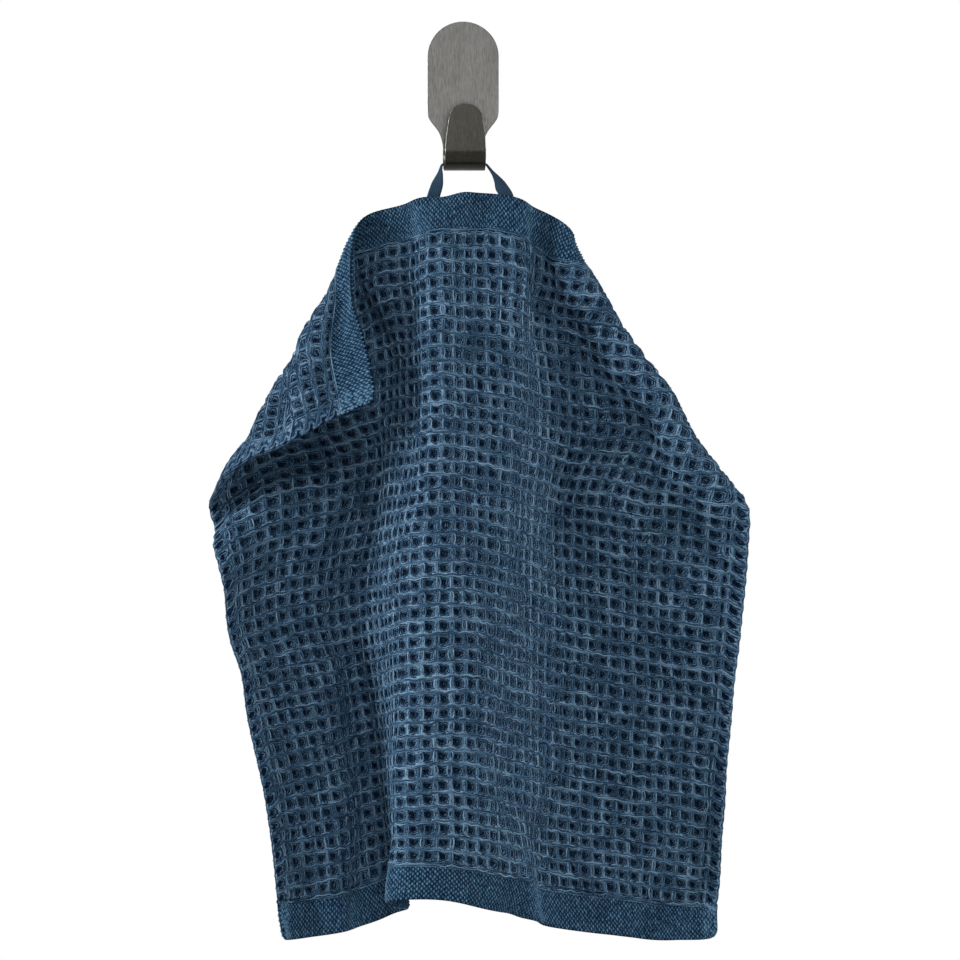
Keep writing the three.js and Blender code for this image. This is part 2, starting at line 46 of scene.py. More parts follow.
# ------------------------------------------------------------------ sizes, mm
WIDTH, LENGTH = 300.0, 300.0
HEM = 17.0                      # each hem, from its edge to the first ridge
COLUMNS, ROWS = 50, 44          # waffle cells
PITCH_U = WIDTH / COLUMNS
PITCH_V = (LENGTH - 2 * HEM) / ROWS
HALF = 1.2                      # half the cloth's thickness, ridge to ridge
MM = 0.001

# ------------------------------------------------------------------ the drape
FOLDS = [
    {"name": "top hem edge", "hold": 1, "hold_out": 1, "rows": [
        # across, down, x, out, z
        [-61, 0, -38.5, 10, -56.5], [-50, 0, -30.5, 10, -54], [-38, 0, -22.5, 13, -51.5], [-24, 0, -12.5, 16, -49.7],
        [-14, 0, -5, 17, -48.4], [-4, 0, 3, 18, -47.7], [6, 0, 10.8, 17.6, -48.1], [16, 0, 18.5, 16.5, -49.3],
        [30, 0, 28, 13, -52.3], [44, 0, 37, 10, -57]]},
    {"name": "left crease, turned forward", "hold": 1, "hold_out": 0.5, "rows": [
        [-68, 1, -43, 12, -60.5], [-76, 7, -47.5, 13, -69], [-86, 16, -52.3, 14.5, -83], [-95, 24, -58.5, 16, -96.5],
        [-101, 30, -62, 17, -102.5], [-106.5, 36, -65.7, 18, -109], [-111.5, 42, -70.3, 19, -117], [-117, 48.5, -75, 20, -125],
        [-123, 55, -79, 21, -133.2], [-129, 61, -83.7, 22, -141.5], [-134.5, 68, -89, 23, -149.5],
        [-140, 75, -94.8, 24, -157.5], [-145.5, 82.5, -100.5, 24.5, -165]]},
    {"name": "hem of the forward flap", "hold": 1, "hold_out": 0.4, "rows": [
        [-78, 0, -47.2, 18, -68], [-91.5, 0, -48, 24, -80.8], [-105, 0, -46.8, 28.5, -93.5], [-118.7, 0, -42.9, 32.5, -106.3],
        [-132.2, 0, -39.5, 37, -119], [-150, 0, -36.8, 44, -137]]},
    {"name": "forward flap", "hold": 1, "hold_out": 0.25, "rows": [
        [-112, 17, -58.4, 25.5, -108], [-125, 17, -56.1, 29, -119.4], [-138, 17, -53.8, 34, -131], [-150, 17, -51.8, 38.5, -142.8],
        [-150, 37, -69.3, 39.5, -152], [-150, 46, -77, 39, -155.5], [-150, 57, -86.3, 38.5, -159.6],
        [-150, 66, -93.5, 37.5, -165], [-150, 75, -101.5, 35, -171], [-135, 42, -74.5, 33, -142]]},
    {"name": "left selvedge", "hold": 1, "hold_out": 0.5, "rows": [
        [-150, 83, -104.5, 30, -174.5], [-150, 90, -107, 24, -178], [-150, 98, -107.8, 17.5, -182], [-150, 107, -107.5, 16, -188.5],
        [-150, 116, -106.5, 17, -195.5], [-150, 150, -101, 25, -222],
        [-150, 175, -97, 29, -244.5], [-150, 200, -92.3, 29.5, -267], [-150, 225, -87.3, 29, -291.8],
        [-150, 250, -82.8, 28, -316.5], [-150, 275, -79.8, 27, -341], [-150, 300, -76, 26, -365.5]]},
    {"name": "left panel", "hold": 1, "hold_out": 0.5, "rows": [
        [-125, 110, -84.5, 16, -174], [-125, 150, -84, 18, -214], [-125, 200, -75, 20, -263], [-125, 250, -64, 19, -312.5],
        [-125, 300, -61, 18, -364]]},
    {"name": "left hollow", "hold": 1, "hold_out": 0.5, "rows": [
        [-100, 110, -55, 10, -168], [-100, 150, -61, 12, -209], [-100, 200, -54, 12, -259], [-100, 250, -47.5, 10.5, -308],
        [-100, 300, -44.5, 10, -360.5]]},
    {"name": "left valley", "hold": 1, "hold_out": 0.5, "rows": [
        [-68, 20, -43.5, 7, -77], [-72, 45, -39, 6.5, -101], [-72, 75, -36, 6.5, -130], [-72, 110, -33.5, 8, -163],
        [-72, 150, -39, 8, -204.5], [-72, 200, -37.5, 8.5, -254.5], [-72, 250, -32.5, 9, -302.5],
        [-80, 300, -30.5, 11, -355]]},
    {"name": "steep side of the bulge, tucked under at the bottom", "hold": 1, "hold_out": 0.5, "rows": [
        [-50, 20, -28.5, 11, -72.5], [-50, 45, -26.5, 15, -97], [-50, 75, -24, 20, -126.5], [-50, 110, -25, 27, -161],
        [-50, 150, -30.5, 28, -202.5], [-52, 200, -30.5, 30, -252.5], [-52, 250, -28.5, 30, -301.5],
        [-60, 300, -24.5, 25, -352]]},
    {"name": "ridge", "hold": 1, "hold_out": 0.5, "rows": [
        [-34, 17, -18.5, 17, -67], [-34, 45, -18, 25, -95], [-34, 75, -17, 33, -124.5], [-34, 110, -18.5, 41, -159.5],
        [-34, 150, -24, 46, -200], [-34, 200, -25.5, 50, -250.5], [-35, 250, -27, 50, -301], [-40, 300, -32, 44, -349.5]]},
    {"name": "crest of the bulge", "hold": 1, "hold_out": 0.5, "rows": [
        [-12, 17, -4.5, 22, -64.5], [-12, 45, -4.5, 31, -93], [-12, 75, -4.5, 38.5, -123], [-12, 110, -4.5, 45.5, -158],
        [-12, 150, -4.5, 51, -198], [-12, 200, -4.5, 54.5, -248.5], [-12, 250, -5, 54.5, -299.5], [-14, 300, -8, 48.5, -348.5]]},
    {"name": "right shoulder", "hold": 1, "hold_out": 0.5, "rows": [
        [12, 17, 15.5, 19, -64.5], [12, 45, 15.5, 27, -95], [12, 75, 16, 34, -125.5], [12, 110, 15.5, 39.5, -161],
        [12, 150, 14, 43.5, -201], [12, 200, 13, 46, -251.5], [12, 250, 12.5, 46, -302.5], [12, 300, 13, 41, -353]]},
    {"name": "right flank", "hold": 1, "hold_out": 0.5, "rows": [
        [32, 17, 28.5, 12, -71], [32, 45, 27, 18.5, -99.5], [32, 75, 27.5, 23, -129.5], [32, 110, 25, 27.5, -164.5],
        [32, 150, 23, 31, -204], [32, 200, 23, 33, -255], [32, 250, 22.5, 33, -305.5], [32, 300, 24, 28, -355.8]]},
    {"name": "right valley", "hold": 1, "hold_out": 0.5, "rows": [
        [50, 17, 39, 11, -77.5], [50, 45, 35.5, 12, -102.5], [50, 75, 37.5, 13, -133], [50, 110, 35, 15.5, -167.5],
        [50, 150, 32.5, 19.5, -207], [50, 200, 32, 21.5, -258], [50, 250, 31, 22, -308], [50, 300, 33, 19, -358.8]]},
    {"name": "right slope", "hold": 1, "hold_out": 0.5, "rows": [
        [75, 45, 55.5, 13, -107], [75, 75, 58.5, 13.5, -137], [75, 110, 52, 12, -171.5], [75, 150, 49.5, 11, -211],
        [75, 200, 49, 11, -262], [75, 250, 47, 10.5, -311.5], [75, 300, 49.5, 9, -362.2]]},
    {"name": "right panel", "hold": 1, "hold_out": 0.5, "rows": [
        [100, 75, 81.5, 17, -141], [100, 110, 74, 14.5, -175], [100, 150, 71.5, 11.5, -215], [100, 200, 70.5, 9.5, -265.5],
        [100, 250, 68.5, 8.5, -315], [100, 300, 70, 7.5, -364.6]]},
    {"name": "right panel, outer part", "hold": 1, "hold_out": 0.5, "rows": [
        [125, 110, 97.5, 17.5, -179], [125, 150, 94, 13, -218.5], [125, 200, 93.5, 10, -269], [125, 250, 91, 8, -318.5],
        [125, 300, 88.5, 7, -366]]},
    {"name": "right crease, turned back", "hold": 1, "hold_out": 0.5, "rows": [
        [61, 5, 46.5, 8, -70.3], [77, 24, 58.3, 10.5, -90.3], [97, 48, 74.8, 15, -116.3], [116, 72, 92.8, 19.5, -143.3],
        [136, 95, 109.2, 20.5, -168], [147, 109, 119, 20.5, -181.3]]},
    {"name": "right selvedge", "hold": 1, "hold_out": 0.5, "rows": [
        [150, 122, 122, 18.5, -194.5], [150, 150, 119.9, 14.5, -222], [150, 175, 117, 12.5, -246.8], [150, 200, 114.5, 11, -271.8],
        [150, 225, 112.3, 9.5, -296.6], [150, 250, 110.5, 8.5, -320.5], [150, 275, 109.2, 8, -343.8], [150, 300, 108, 7.5, -364.5]]},
    {"name": "corner turned back behind the right panel", "hold": 0.3, "hold_out": 0.5, "rows": [
        [72, 0, 40.5, 4, -78], [100, 0, 34, 3.8, -101.5], [128, 0, 26, 3.8, -128.5], [150, 0, 19.5, 4, -149],
        [128, 22, 44, 4, -144.5], [150, 50, 66.5, 4.5, -164], [150, 88, 103, 10.5, -176]]},
]
CELLS = 46
WALL_CLEARANCE = 3.2
SETTLE_STEPS = 400
HOLD_REACH = 9.0
HOLD_PULL, HOLD_PULL_OUT = 0.9, 0.4
ACROSS_STRETCH, DOWN_STRETCH, SKEW_STRETCH = (0.85, 1.03), (0.95, 1.03), (0.86, 1.07)
BEND_ACROSS, BEND_DOWN, BEND_SKEW = (0.8, 1.1), (0.88, 1.1), (0.82, 1.1)
STIFFNESS_START, STIFFNESS_END = 0.3, 0.05
START_SOFTNESS, START_SCALE = 2e-3, 100.0


def settle():
    """The cloth's middle surface on a grid of CELLS + 1 points each way, settled between the rows of FOLDS."""
    n, m = CELLS, CELLS + 1
    du, dv = WIDTH / n, LENGTH / n
    rows = np.array([[*r, f["hold"], f["hold_out"]] for f in FOLDS for r in f["rows"]], float)
    u, v, hold, hold_out = rows[:, 0], rows[:, 1], rows[:, 5], rows[:, 6]
    place = np.stack([rows[:, 2], -rows[:, 3], rows[:, 4]], 1)
    gu, gv = np.meshgrid(np.arange(m) * du - WIDTH / 2, np.arange(m) * dv)

    def plate(r2):
        return np.where(r2 > 0, 0.5 * r2 * np.log(np.maximum(r2, 1e-12)), 0)

    a, b = np.c_[u, v] / START_SCALE, np.c_[gu.ravel(), gv.ravel()] / START_SCALE
    k = len(u)
    q = np.c_[np.ones(k), a]
    system = np.block([[plate(((a[:, None] - a[None]) ** 2).sum(-1)) + START_SOFTNESS * np.eye(k), q], [q.T, np.zeros((3, 3))]])
    w = np.linalg.solve(system, np.r_[place, np.zeros((3, 3))])
    X = (plate(((b[:, None] - a[None]) ** 2).sum(-1)) @ w[:k] + np.c_[np.ones(len(b)), b] @ w[k:]).reshape(m, m, 3)
    fi, fj = (u + WIDTH / 2) / du, v / dv
    i0, j0 = np.clip(np.floor(fi).astype(int), 0, n - 1), np.clip(np.floor(fj).astype(int), 0, n - 1)
    s, t, o = fi - i0, fj - j0, j0 * m + i0
    corner = np.stack([o, o + 1, o + m, o + m + 1], 1)
    share = np.stack([(1 - s) * (1 - t), s * (1 - t), (1 - s) * t, s * t], 1)
    near = np.exp(-((gu.ravel()[:, None] - u) ** 2 + (gv.ravel()[:, None] - v) ** 2) / (2 * HOLD_REACH ** 2))
    near = near / np.maximum(near.sum(1), 0.35)[:, None]
    pull = np.stack([HOLD_PULL * hold, HOLD_PULL_OUT * hold_out, HOLD_PULL * hold], 1)
    every = slice(None)

    def keep(A, B, rest, span, stiff):
        d = X[B] - X[A]
        length = np.linalg.norm(d, axis=-1, keepdims=True)
        want = np.clip(length, rest * span[0], rest * span[1])
        c = d * ((length - want) / np.maximum(length, 1e-9) * 0.5 * stiff)
        X[A] += c
        X[B] -= c

    def across(step, span, stiff):
        for p in range(2 * step):
            i = np.arange(p, m - step, 2 * step)
            keep((every, i), (every, i + step), step * du, span, stiff)

    def down(step, span, stiff):
        for p in range(2 * step):
            j = np.arange(p, m - step, 2 * step)
            keep((j, every), (j + step, every), step * dv, span, stiff)

    def skewed(step, span, stiff):
        for p in range(2 * step):
            J, I = np.meshgrid(np.arange(p, m - step, 2 * step), np.arange(0, m - step), indexing="ij")
            keep((J, I), (J + step, I + step), step * math.hypot(du, dv), span, stiff)
            keep((J, I + step), (J + step, I), step * math.hypot(du, dv), span, stiff)

    for step in range(SETTLE_STEPS):
        flat = X.reshape(-1, 3)
        error = (place - (flat[corner] * share[..., None]).sum(1)) * pull
        X = (flat + near @ error).reshape(m, m, 3)
        stiff = STIFFNESS_START * (1 - step / SETTLE_STEPS) + STIFFNESS_END
        for axis in (0, 1):
            Y = X if axis == 0 else X.transpose(1, 0, 2)
            c, c2 = np.zeros_like(Y), np.zeros_like(Y)
            c[1:-1] = (Y[:-2] + Y[2:]) / 2 - Y[1:-1]
            c2[1:-1] = (c[:-2] + c[2:]) / 2 - c[1:-1]
            Y = Y + stiff * 0.2 * c - 0.5 * min(1, stiff * 4) * c2
            X = Y if axis == 0 else Y.transpose(1, 0, 2).copy()
        across(2, BEND_ACROSS, 0.5)
        down(2, BEND_DOWN, 0.5)
        skewed(2, BEND_SKEW, 0.5)
        for _ in range(2):
            across(1, ACROSS_STRETCH, 1)
            down(1, DOWN_STRETCH, 1)
        skewed(1, SKEW_STRETCH, 0.4)
        X[..., 1] = np.minimum(X[..., 1], -WALL_CLEARANCE)
    return X


def spline_weights(n, t):
    """Rows of weights that carry n evenly spaced values to the positions t, on a natural cubic spline."""
    A, B = np.eye(n), np.zeros((n, n))
    for i in range(1, n - 1):
        A[i, i - 1:i + 2] = 1, 4, 1
        B[i, i - 1:i + 2] = 6, -12, 6
    K = np.linalg.solve(A, B)
    i = np.clip(np.floor(t).astype(int), 0, n - 2)
    f = t - i
    W = np.zeros((len(t), n))
    r = np.arange(len(t))
    W[r, i] += 1 - f
    W[r, i + 1] += f
    return W + (((1 - f) ** 3 - (1 - f)) / 6)[:, None] * K[i] + ((f ** 3 - f) / 6)[:, None] * K[i + 1]


FINE = 1.0                                  # mm between the points of the fine surface
_g = settle()
_fu = np.arange(0, WIDTH + FINE / 2, FINE)
_fv = np.arange(0, LENGTH + FINE / 2, FINE)
SURFACE = np.einsum("aj,jkc,bk->abc", spline_weights(CELLS + 1, _fv * CELLS / LENGTH), _g, spline_weights(CELLS + 1, _fu * CELLS / WIDTH))
_n = np.cross(np.gradient(SURFACE, axis=0), np.gradient(SURFACE, axis=1))
FRONT = _n / np.linalg.norm(_n, axis=-1, keepdims=True)      # unit normals, out of the cloth's front face


def on_cloth(u, v):
    """Place and front normal of the cloth's middle surface at u across (from its middle) and v down, in mm."""
    a = np.clip((u + WIDTH / 2) / FINE, 0, SURFACE.shape[1] - 1.0001)
    b = np.clip(v / FINE, 0, SURFACE.shape[0] - 1.0001)
    i, j = np.floor(a).astype(int), np.floor(b).astype(int)
    s, t = (a - i)[..., None], (b - j)[..., None]

    def at(F):
        return (F[j, i] * (1 - s) + F[j, i + 1] * s) * (1 - t) + (F[j + 1, i] * (1 - s) + F[j + 1, i + 1] * s) * t

    n = at(FRONT)
    return at(SURFACE), n / np.linalg.norm(n, axis=-1, keepdims=True)


# ------------------------------------------------------------------ mesh helpers
def add_mesh(name, verts_mm, quads, uv=None, smooth=True, values=None):
    """A mesh object from arrays. verts in mm, quads as rows of 4, uv per face corner in metres, values = point attributes."""
    me = bpy.data.meshes.new(name)
    verts = np.ascontiguousarray(verts_mm, np.float32).reshape(-1, 3) * MM
    quads = np.ascontiguousarray(quads, np.int32).reshape(-1, 4)
    me.vertices.add(len(verts))
    me.vertices.foreach_set("co", verts.ravel())
    me.loops.add(quads.size)
    me.loops.foreach_set("vertex_index", quads.ravel())
    me.polygons.add(len(quads))
    me.polygons.foreach_set("loop_start", np.arange(0, quads.size, 4, dtype=np.int32))
    me.polygons.foreach_set("loop_total", np.full(len(quads), 4, np.int32))
    me.update(calc_edges=True)
    me.validate()
    if smooth:
        me.polygons.foreach_set("use_smooth", np.ones(len(me.polygons), bool))
    if uv is not None:
        layer = me.uv_layers.new(name="lay")
        layer.data.foreach_set("uv", np.ascontiguousarray(uv, np.float32).ravel())
    for key, val in (values or {}).items():
        att = me.attributes.new(key, "FLOAT", "POINT")
        att.data.foreach_set("value", np.ascontiguousarray(val, np.float32).ravel())
    o = bpy.data.objects.new(name, me)
    bpy.context.scene.collection.objects.link(o)
    return o


def tubes(name, centres, normals, radius, sides=4, squash=1.0, tone=None):
    """Joined yarns: centres and normals are (strands, points, 3), radius (strands, points)."""
    S, K, _ = centres.shape
    along = np.gradient(centres, axis=1)
    along /= np.linalg.norm(along, axis=-1, keepdims=True) + 1e-9
    wide = np.cross(along, normals)
    wide /= np.linalg.norm(wide, axis=-1, keepdims=True) + 1e-9
    up = np.cross(wide, along)
    ang = np.arange(sides) * 2 * np.pi / sides
    ring = wide[:, :, None] * np.cos(ang)[:, None] + up[:, :, None] * (squash * np.sin(ang))[:, None]
    verts = centres[:, :, None] + ring * radius[:, :, None, None]
    idx = np.arange(S * K * sides).reshape(S, K, sides)
    a, b = idx[:, :-1], idx[:, 1:]
    quads = np.stack([a, b, np.roll(b, -1, 2), np.roll(a, -1, 2)], -1)
    run = np.zeros((S, K))
    run[:, 1:] = np.cumsum(np.linalg.norm(np.diff(centres, axis=1), axis=-1), 1)
    run += RNG.uniform(0, 40, (S, 1))
    girth = 2 * np.pi * radius.mean() / sides
    uv = np.zeros(quads.shape + (2,))
    k = np.arange(sides)
    uv[..., 0, 0] = uv[..., 3, 0] = run[:, :-1, None]
    uv[..., 1, 0] = uv[..., 2, 0] = run[:, 1:, None]
    uv[..., 0, 1] = uv[..., 1, 1] = k * girth
    uv[..., 2, 1] = uv[..., 3, 1] = (k + 1) * girth
    values = None
    if tone is not None:
        values = {"tone": np.repeat(tone[:, :, None], sides, 2)}
    return add_mesh(name, verts, quads, uv * MM, values=values)


# ------------------------------------------------------------------ the weave
# Where the waffle's ridges down lie by a selvedge: which column, and how far in, mm. A wide ribbed column at the edge,
# then a narrow one. The reverse face has its ridges between those of the front.
EDGE_FRONT = [(0, 0.0), (1, 7.0), (2, 10.4), (3, 17.2), (4, 24.0)]
EDGE_REVERSE = [(0, 0.0), (0.5, 7.0), (1.5, 10.4), (2.5, 15.6), (3.5, 21.2), (4.5, 27.0)]


def column_marks(edge):
    left = np.array(edge)
    right = np.array([(COLUMNS - c, WIDTH - x) for c, x in edge[::-1]])
    marks = np.concatenate([left, right])
    return marks[:, 0], marks[:, 1] - WIDTH / 2


MARKS = {0.0: column_marks(EDGE_FRONT), 0.5: column_marks(EDGE_REVERSE)}

CREST = 1.12           # mm, the ridges' top over the middle surface, yarns not counted
PIT = 1.95             # mm from the crest to the bottom of a cell
RIDGE, RIDGE_ACROSS = 0.09, 0.17     # half the width of a ridge's flat top, in cells: ridges down, ridges across
ROUND = 2.2            # how round the cells are: 2 is a circle
DEEPEST = (0.38, 0.43)     # where a cell is deepest, across and down it: nearer its left and upper ridges
SAG = 0.55             # mm that a ridge across hangs down midway between two ridges down
HEM_LIFT = 0.62
CORNER = 4.5           # mm, rounding of the four corners
LOOSE = RNG.uniform(0, 1, (4, 64, 64))        # unevenness from cell to cell
PHASE = RNG.uniform(0, 2 * np.pi, (2, 64))


def bump01(x):
    return np.abs(np.sin(np.pi * x))


def cell_noise(k, i, j):
    return LOOSE[k][np.mod(j, 64), np.mod(i, 64)]


def column_of(u, half):
    return np.interp(u, MARKS[half][1], MARKS[half][0])


def place_of(column, half):
    return np.interp(column, *MARKS[half])


def wander(k, line, t):
    """A ridge's way to and fro, in cells."""
    f = PHASE[k][np.mod(line, 64)]
    return 0.035 * np.sin(0.9 * t + f) + 0.025 * np.sin(2.3 * t + 2.1 * f)


def edge_slant(u):
    """By each selvedge the rows slope down and outwards, mm."""
    return 0.42 * np.clip(7.0 - (WIDTH / 2 - np.abs(u)), 0, 7)


def cell_place(u, v, half):
    """Column and row of a place, counted in cells; half = 0.5 on the reverse face, whose ridges lie between."""
    p, q = column_of(u, half) + half, (v - HEM - edge_slant(u)) / PITCH_V + half
    q = q - SAG / PITCH_V * np.sin(np.pi * p) ** 2
    return p - wander(0, np.round(p).astype(int), q), q - wander(1, np.round(q).astype(int), p)


def in_waffle(v):
    """1 within the waffle, 0 on the hems, with a short slope between."""
    t = np.clip((np.minimum(v - HEM, LENGTH - HEM - v) + 0.7) / 1.2, 0, 1)
    return t * t * (3 - 2 * t)


def in_selvedge(u):
    """1 on the outermost thread at each side, 0 within."""
    t = np.clip((np.abs(u) - (WIDTH / 2 - 1.9)) / 1.3, 0, 1)
    return t * t * (3 - 2 * t)


def from_ridge(f, deepest):
    """How far a place in a cell is from the nearer ridge: 0.5 where the cell is deepest."""
    return np.where(f < deepest, 0.5 * f / deepest, 0.5 - 0.5 * (f - deepest) / (1 - deepest))


def relief(u, v, half, k):
    """Height of a face over the middle surface, mm, and the painted shade of each place: darker the deeper it lies in a
    cell, and darker on a cell's left side than on its right.
    """
    p, q = cell_place(u, v, half)
    i, j = np.floor(p).astype(int), np.floor(q).astype(int)
    ridge_a, ridge_b = from_ridge(p - i, DEEPEST[0]), from_ridge(q - j, DEEPEST[1])
    a = np.clip((ridge_a - RIDGE) / (0.5 - RIDGE), 0, 1)
    b = np.clip((ridge_b - RIDGE_ACROSS) / (0.5 - RIDGE_ACROSS), 0, 1)
    away = np.minimum(((1 - a) ** ROUND + (1 - b) ** ROUND) ** (1 / ROUND), 1)      # 0 in a cell's middle, 1 at its rim
    pit_and_painted_shade = np.cos(np.pi / 2 * away) ** 0.72
    deep = PIT * (0.86 + 0.28 * cell_noise(k, i, j))
    # ridges rise unevenly from cell to cell, the narrow columns by the selvedge are shallow
    edge = np.clip((WIDTH / 2 - np.abs(u) - 4.0) / 9.0, 0, 1)
    deep = deep * (0.55 + 0.45 * edge)
    crest = CREST + 0.16 * (cell_noise(3, np.round(p).astype(int), j) - 0.5)
    h = crest - deep * pit_and_painted_shade
    h = h * (1 - in_selvedge(u)) + (0.75 - 0.35 * b) * in_selvedge(u)
    w = in_waffle(v)
    # painted shade: deeper in a cell is darker, and each cell's left side is painted darker and its right side lighter,
    # as the light from the left falls
    shade = pit_and_painted_shade * (1.15 - 0.80 * np.clip((p - i - 0.28) / 0.45, 0, 1))
    return h * w + HEM_LIFT * (1 - w), shade * w


def corner_round(u, v):
    """Turns the cloth's square corners into round ones."""
    a, b = 1 - (WIDTH / 2 - np.abs(u)) / CORNER, 1 - np.minimum(v, LENGTH - v) / CORNER
    ca, cb = np.clip(a, 0, 1), np.clip(b, 0, 1)
    na, nb = ca * np.sqrt(1 - cb ** 2 / 2), cb * np.sqrt(1 - ca ** 2 / 2)
    u2 = np.where(a > 0, np.sign(u) * (WIDTH / 2 - CORNER * (1 - na)), u)
    low = v > LENGTH / 2
    v2 = np.where(b > 0, np.where(low, LENGTH - CORNER * (1 - nb), CORNER * (1 - nb)), v)
    return u2, v2


def scallop(u, v):
    """Draws the selvedges in a little between the rows."""
    row = (v - HEM - edge_slant(u)) / PITCH_V
    between = 2 * np.abs(row - np.round(row))
    near = np.clip((np.abs(u) - (WIDTH / 2 - 2.2)) / 2.2, 0, 1)
    return u - np.sign(u) * near * in_waffle(v) * 1.1 * (1 - np.sqrt(1 - between ** 2))


def grid_quads(nv, nu, flip=False):
    idx = np.arange(nv * nu).reshape(nv, nu)
    a, b, c, d = idx[:-1, :-1], idx[:-1, 1:], idx[1:, 1:], idx[1:, :-1]
    return np.stack([a, d, c, b] if not flip else [a, b, c, d], -1).reshape(-1, 4)


def face_grid(marks, half, hem_steps):
    """Grid lines across and down; marks are the places within a cell, from one ridge to the next."""
    marks = np.asarray(marks)
    t = (np.arange(-1, COLUMNS + 1)[:, None] + marks[None] + half).ravel()
    t = np.concatenate([[0], t[(t > 0.01) & (t < COLUMNS - 0.01)], [COLUMNS]])
    r = (np.arange(-1, ROWS + 1)[:, None] + marks[None] + half).ravel()
    r = np.concatenate([[0], r[(r > 0.01) & (r < ROWS - 0.01)], [ROWS]])
    vs = np.concatenate([np.linspace(0, HEM, hem_steps, endpoint=False), HEM + r * PITCH_V,
                         np.linspace(LENGTH - HEM, LENGTH, hem_steps + 1)[1:]])
    us = np.unique(np.concatenate([place_of(t, half), [-WIDTH / 2 + 0.45, -WIDTH / 2 + 1.0, WIDTH / 2 - 1.0, WIDTH / 2 - 0.45]]))
    vs = np.unique(np.concatenate([vs, [0.35, 0.8, LENGTH - 0.8, LENGTH - 0.35]]))
    return us, vs


def edge_round(u, v):
    """Thins the sheet towards its rim, so that the edge is round."""
    d = np.minimum(np.minimum(WIDTH / 2 - np.abs(u), v), LENGTH - v)
    return np.sqrt(np.clip(1 - (1 - np.clip(d / 1.1, 0, 1)) ** 2, 0.0, 1))


def cloth_face(name, marks, hem_steps, side, half, k):
    us, vs = face_grid(marks, half, hem_steps)
    U, V = np.meshgrid(us, vs)
    h, pit_and_painted_shade = relief(U, V, half, k)
    h = h * edge_round(U, V)
    U2, V2 = corner_round(scallop(U, V), V)
    P, n = on_cloth(U2, V2)
    verts = P + n * (side * h)[..., None]
    quads = grid_quads(len(vs), len(us), flip=side < 0)
    uv = np.stack([U + WIDTH / 2, LENGTH - V], -1).reshape(-1, 2)[quads] * MM
    # the second value from relief is painted shade; 'hem' marks the hems, where the sheet under the grains is painted
    # dark as shade
    return add_mesh(name, verts, quads, uv, values={"height": h, "pit_and_painted_shade": pit_and_painted_shade, "hem": 1 - in_waffle(V)})


front = cloth_face("towel_face", (0, 0.10, 0.23, 0.42, 0.67, 0.87), 8, 1, 0.0, 0)
reverse = cloth_face("towel_reverse", (0, 0.12, 0.34, 0.66, 0.88), 7, -1, 0.5, 1)


def strand_tone(S, K, spread=0.5):
    """Lightness of each yarn, drifting along it."""
    base = RNG.normal(0, 0.35, (S, 1))
    knots = RNG.normal(0, 1, (S, K // 3 + 3))
    t = np.arange(K) / 3
    i = np.floor(t).astype(int)
    f = t - i
    drift = knots[:, i] * (1 - f) + knots[:, i + 1] * f
    return np.clip(0.5 + spread * (0.6 * base + 0.5 * drift), 0, 1)


YARN = 0.25            # mm, radius
STEPS = 4              # points to a cell


def ridge_yarns(name, side, half, k, across):
    """Two yarns to each ridge. Across: they run on past every crossing, here and there with an open eye between them.
    Down: they dive under at each crossing and open into a ring between. The first ridge by each hem is doubled."""
    cells = COLUMNS if across else ROWS
    pts = cells * STEPS + 1
    t = np.linspace(0, cells, pts)                       # cells along the ridge
    if across:
        by_hem = 0.03 if half else 0.24
        line = np.concatenate([[-by_hem], np.arange(half, ROWS + 0.1), [ROWS + by_hem]])
    else:
        line = np.arange(half if half else 1, COLUMNS - 0.1)
    line = line[:, None]
    ids = np.round(line + half).astype(int)
    tt = t[None, :] + half
    seg = np.floor(tt).astype(int)
    shape = bump01(tt)                                   # 0 at a crossing, 1 midway
    loose = cell_noise(2 if across else 3, seg + 13 * k, ids + 7 * k)
    loose2 = cell_noise(3 if across else 2, seg + 5 + 11 * k, ids + 3 * k)
    out = []
    for s in (-1, 1):
        if across:
            eye = np.clip((loose - 0.88) / 0.12, 0, 1)
            gap = 0.33 + (0.10 * loose2 + 0.50 * eye) * shape
            within = ((line > -0.01) & (line < ROWS + 0.01)).astype(float)
            sag = SAG * shape ** 2 * within * (0.7 + 0.6 * loose2)
            h = CREST + 0.12 + 0.16 * (1 - shape) + 0.10 * s * (loose2 - 0.5)
            u = np.broadcast_to(place_of(t, half), (len(line), pts))
            w = wander(1, ids, tt) * PITCH_V * within
            v = HEM + line * PITCH_V + s * gap + sag + w + edge_slant(u) * within
            h = h - 0.30 * (1 - within)
        else:
            gap = 0.16 + (0.34 + 0.62 * loose ** 1.5) * shape ** 0.8
            lean = (loose2 - 0.5) * 0.7 * shape
            h = CREST - 0.30 + 0.50 * shape + 0.14 * s * (loose2 - 0.5)
            u = place_of(line, half) + s * gap + lean + wander(0, ids, tt) * PITCH_U
            v = np.broadcast_to(HEM + t * PITCH_V, (len(line), pts))
        h = h * (1 - in_selvedge(u)) + 0.62 * in_selvedge(u)
        u = np.clip(u, -WIDTH / 2 + 0.3, WIDTH / 2 - 0.3)
        u, v = corner_round(scallop(u, v), v)
        P, n = on_cloth(u, v)
        out.append((P + n * (side * h)[..., None], n * side))
    C = np.concatenate([o[0] for o in out])
    Nn = np.concatenate([o[1] for o in out])
    swell = 0.9 + 0.25 * shape if not across else 1.0 + 0.12 * (1 - shape)
    r = np.broadcast_to(YARN * swell, (len(line), pts))
    r = np.concatenate([r, r]) * RNG.uniform(0.85, 1.15, (len(C), 1))
    return tubes(name, C, Nn, r, 4, 0.9, strand_tone(*C.shape[:2]))


yarns = [
    ridge_yarns("yarns_across_face", 1, 0.0, 0, True),
    ridge_yarns("yarns_down_face", 1, 0.0, 0, False),
    ridge_yarns("yarns_across_reverse", -1, 0.5, 1, True),
    ridge_yarns("yarns_down_reverse", -1, 0.5, 1, False),
]

# ------------------------------------------------------------------ hems: short floats in staggered columns
GRAIN_U, GRAIN_V = 1.0, 2.2      # mm between the columns, and between the grains of one column


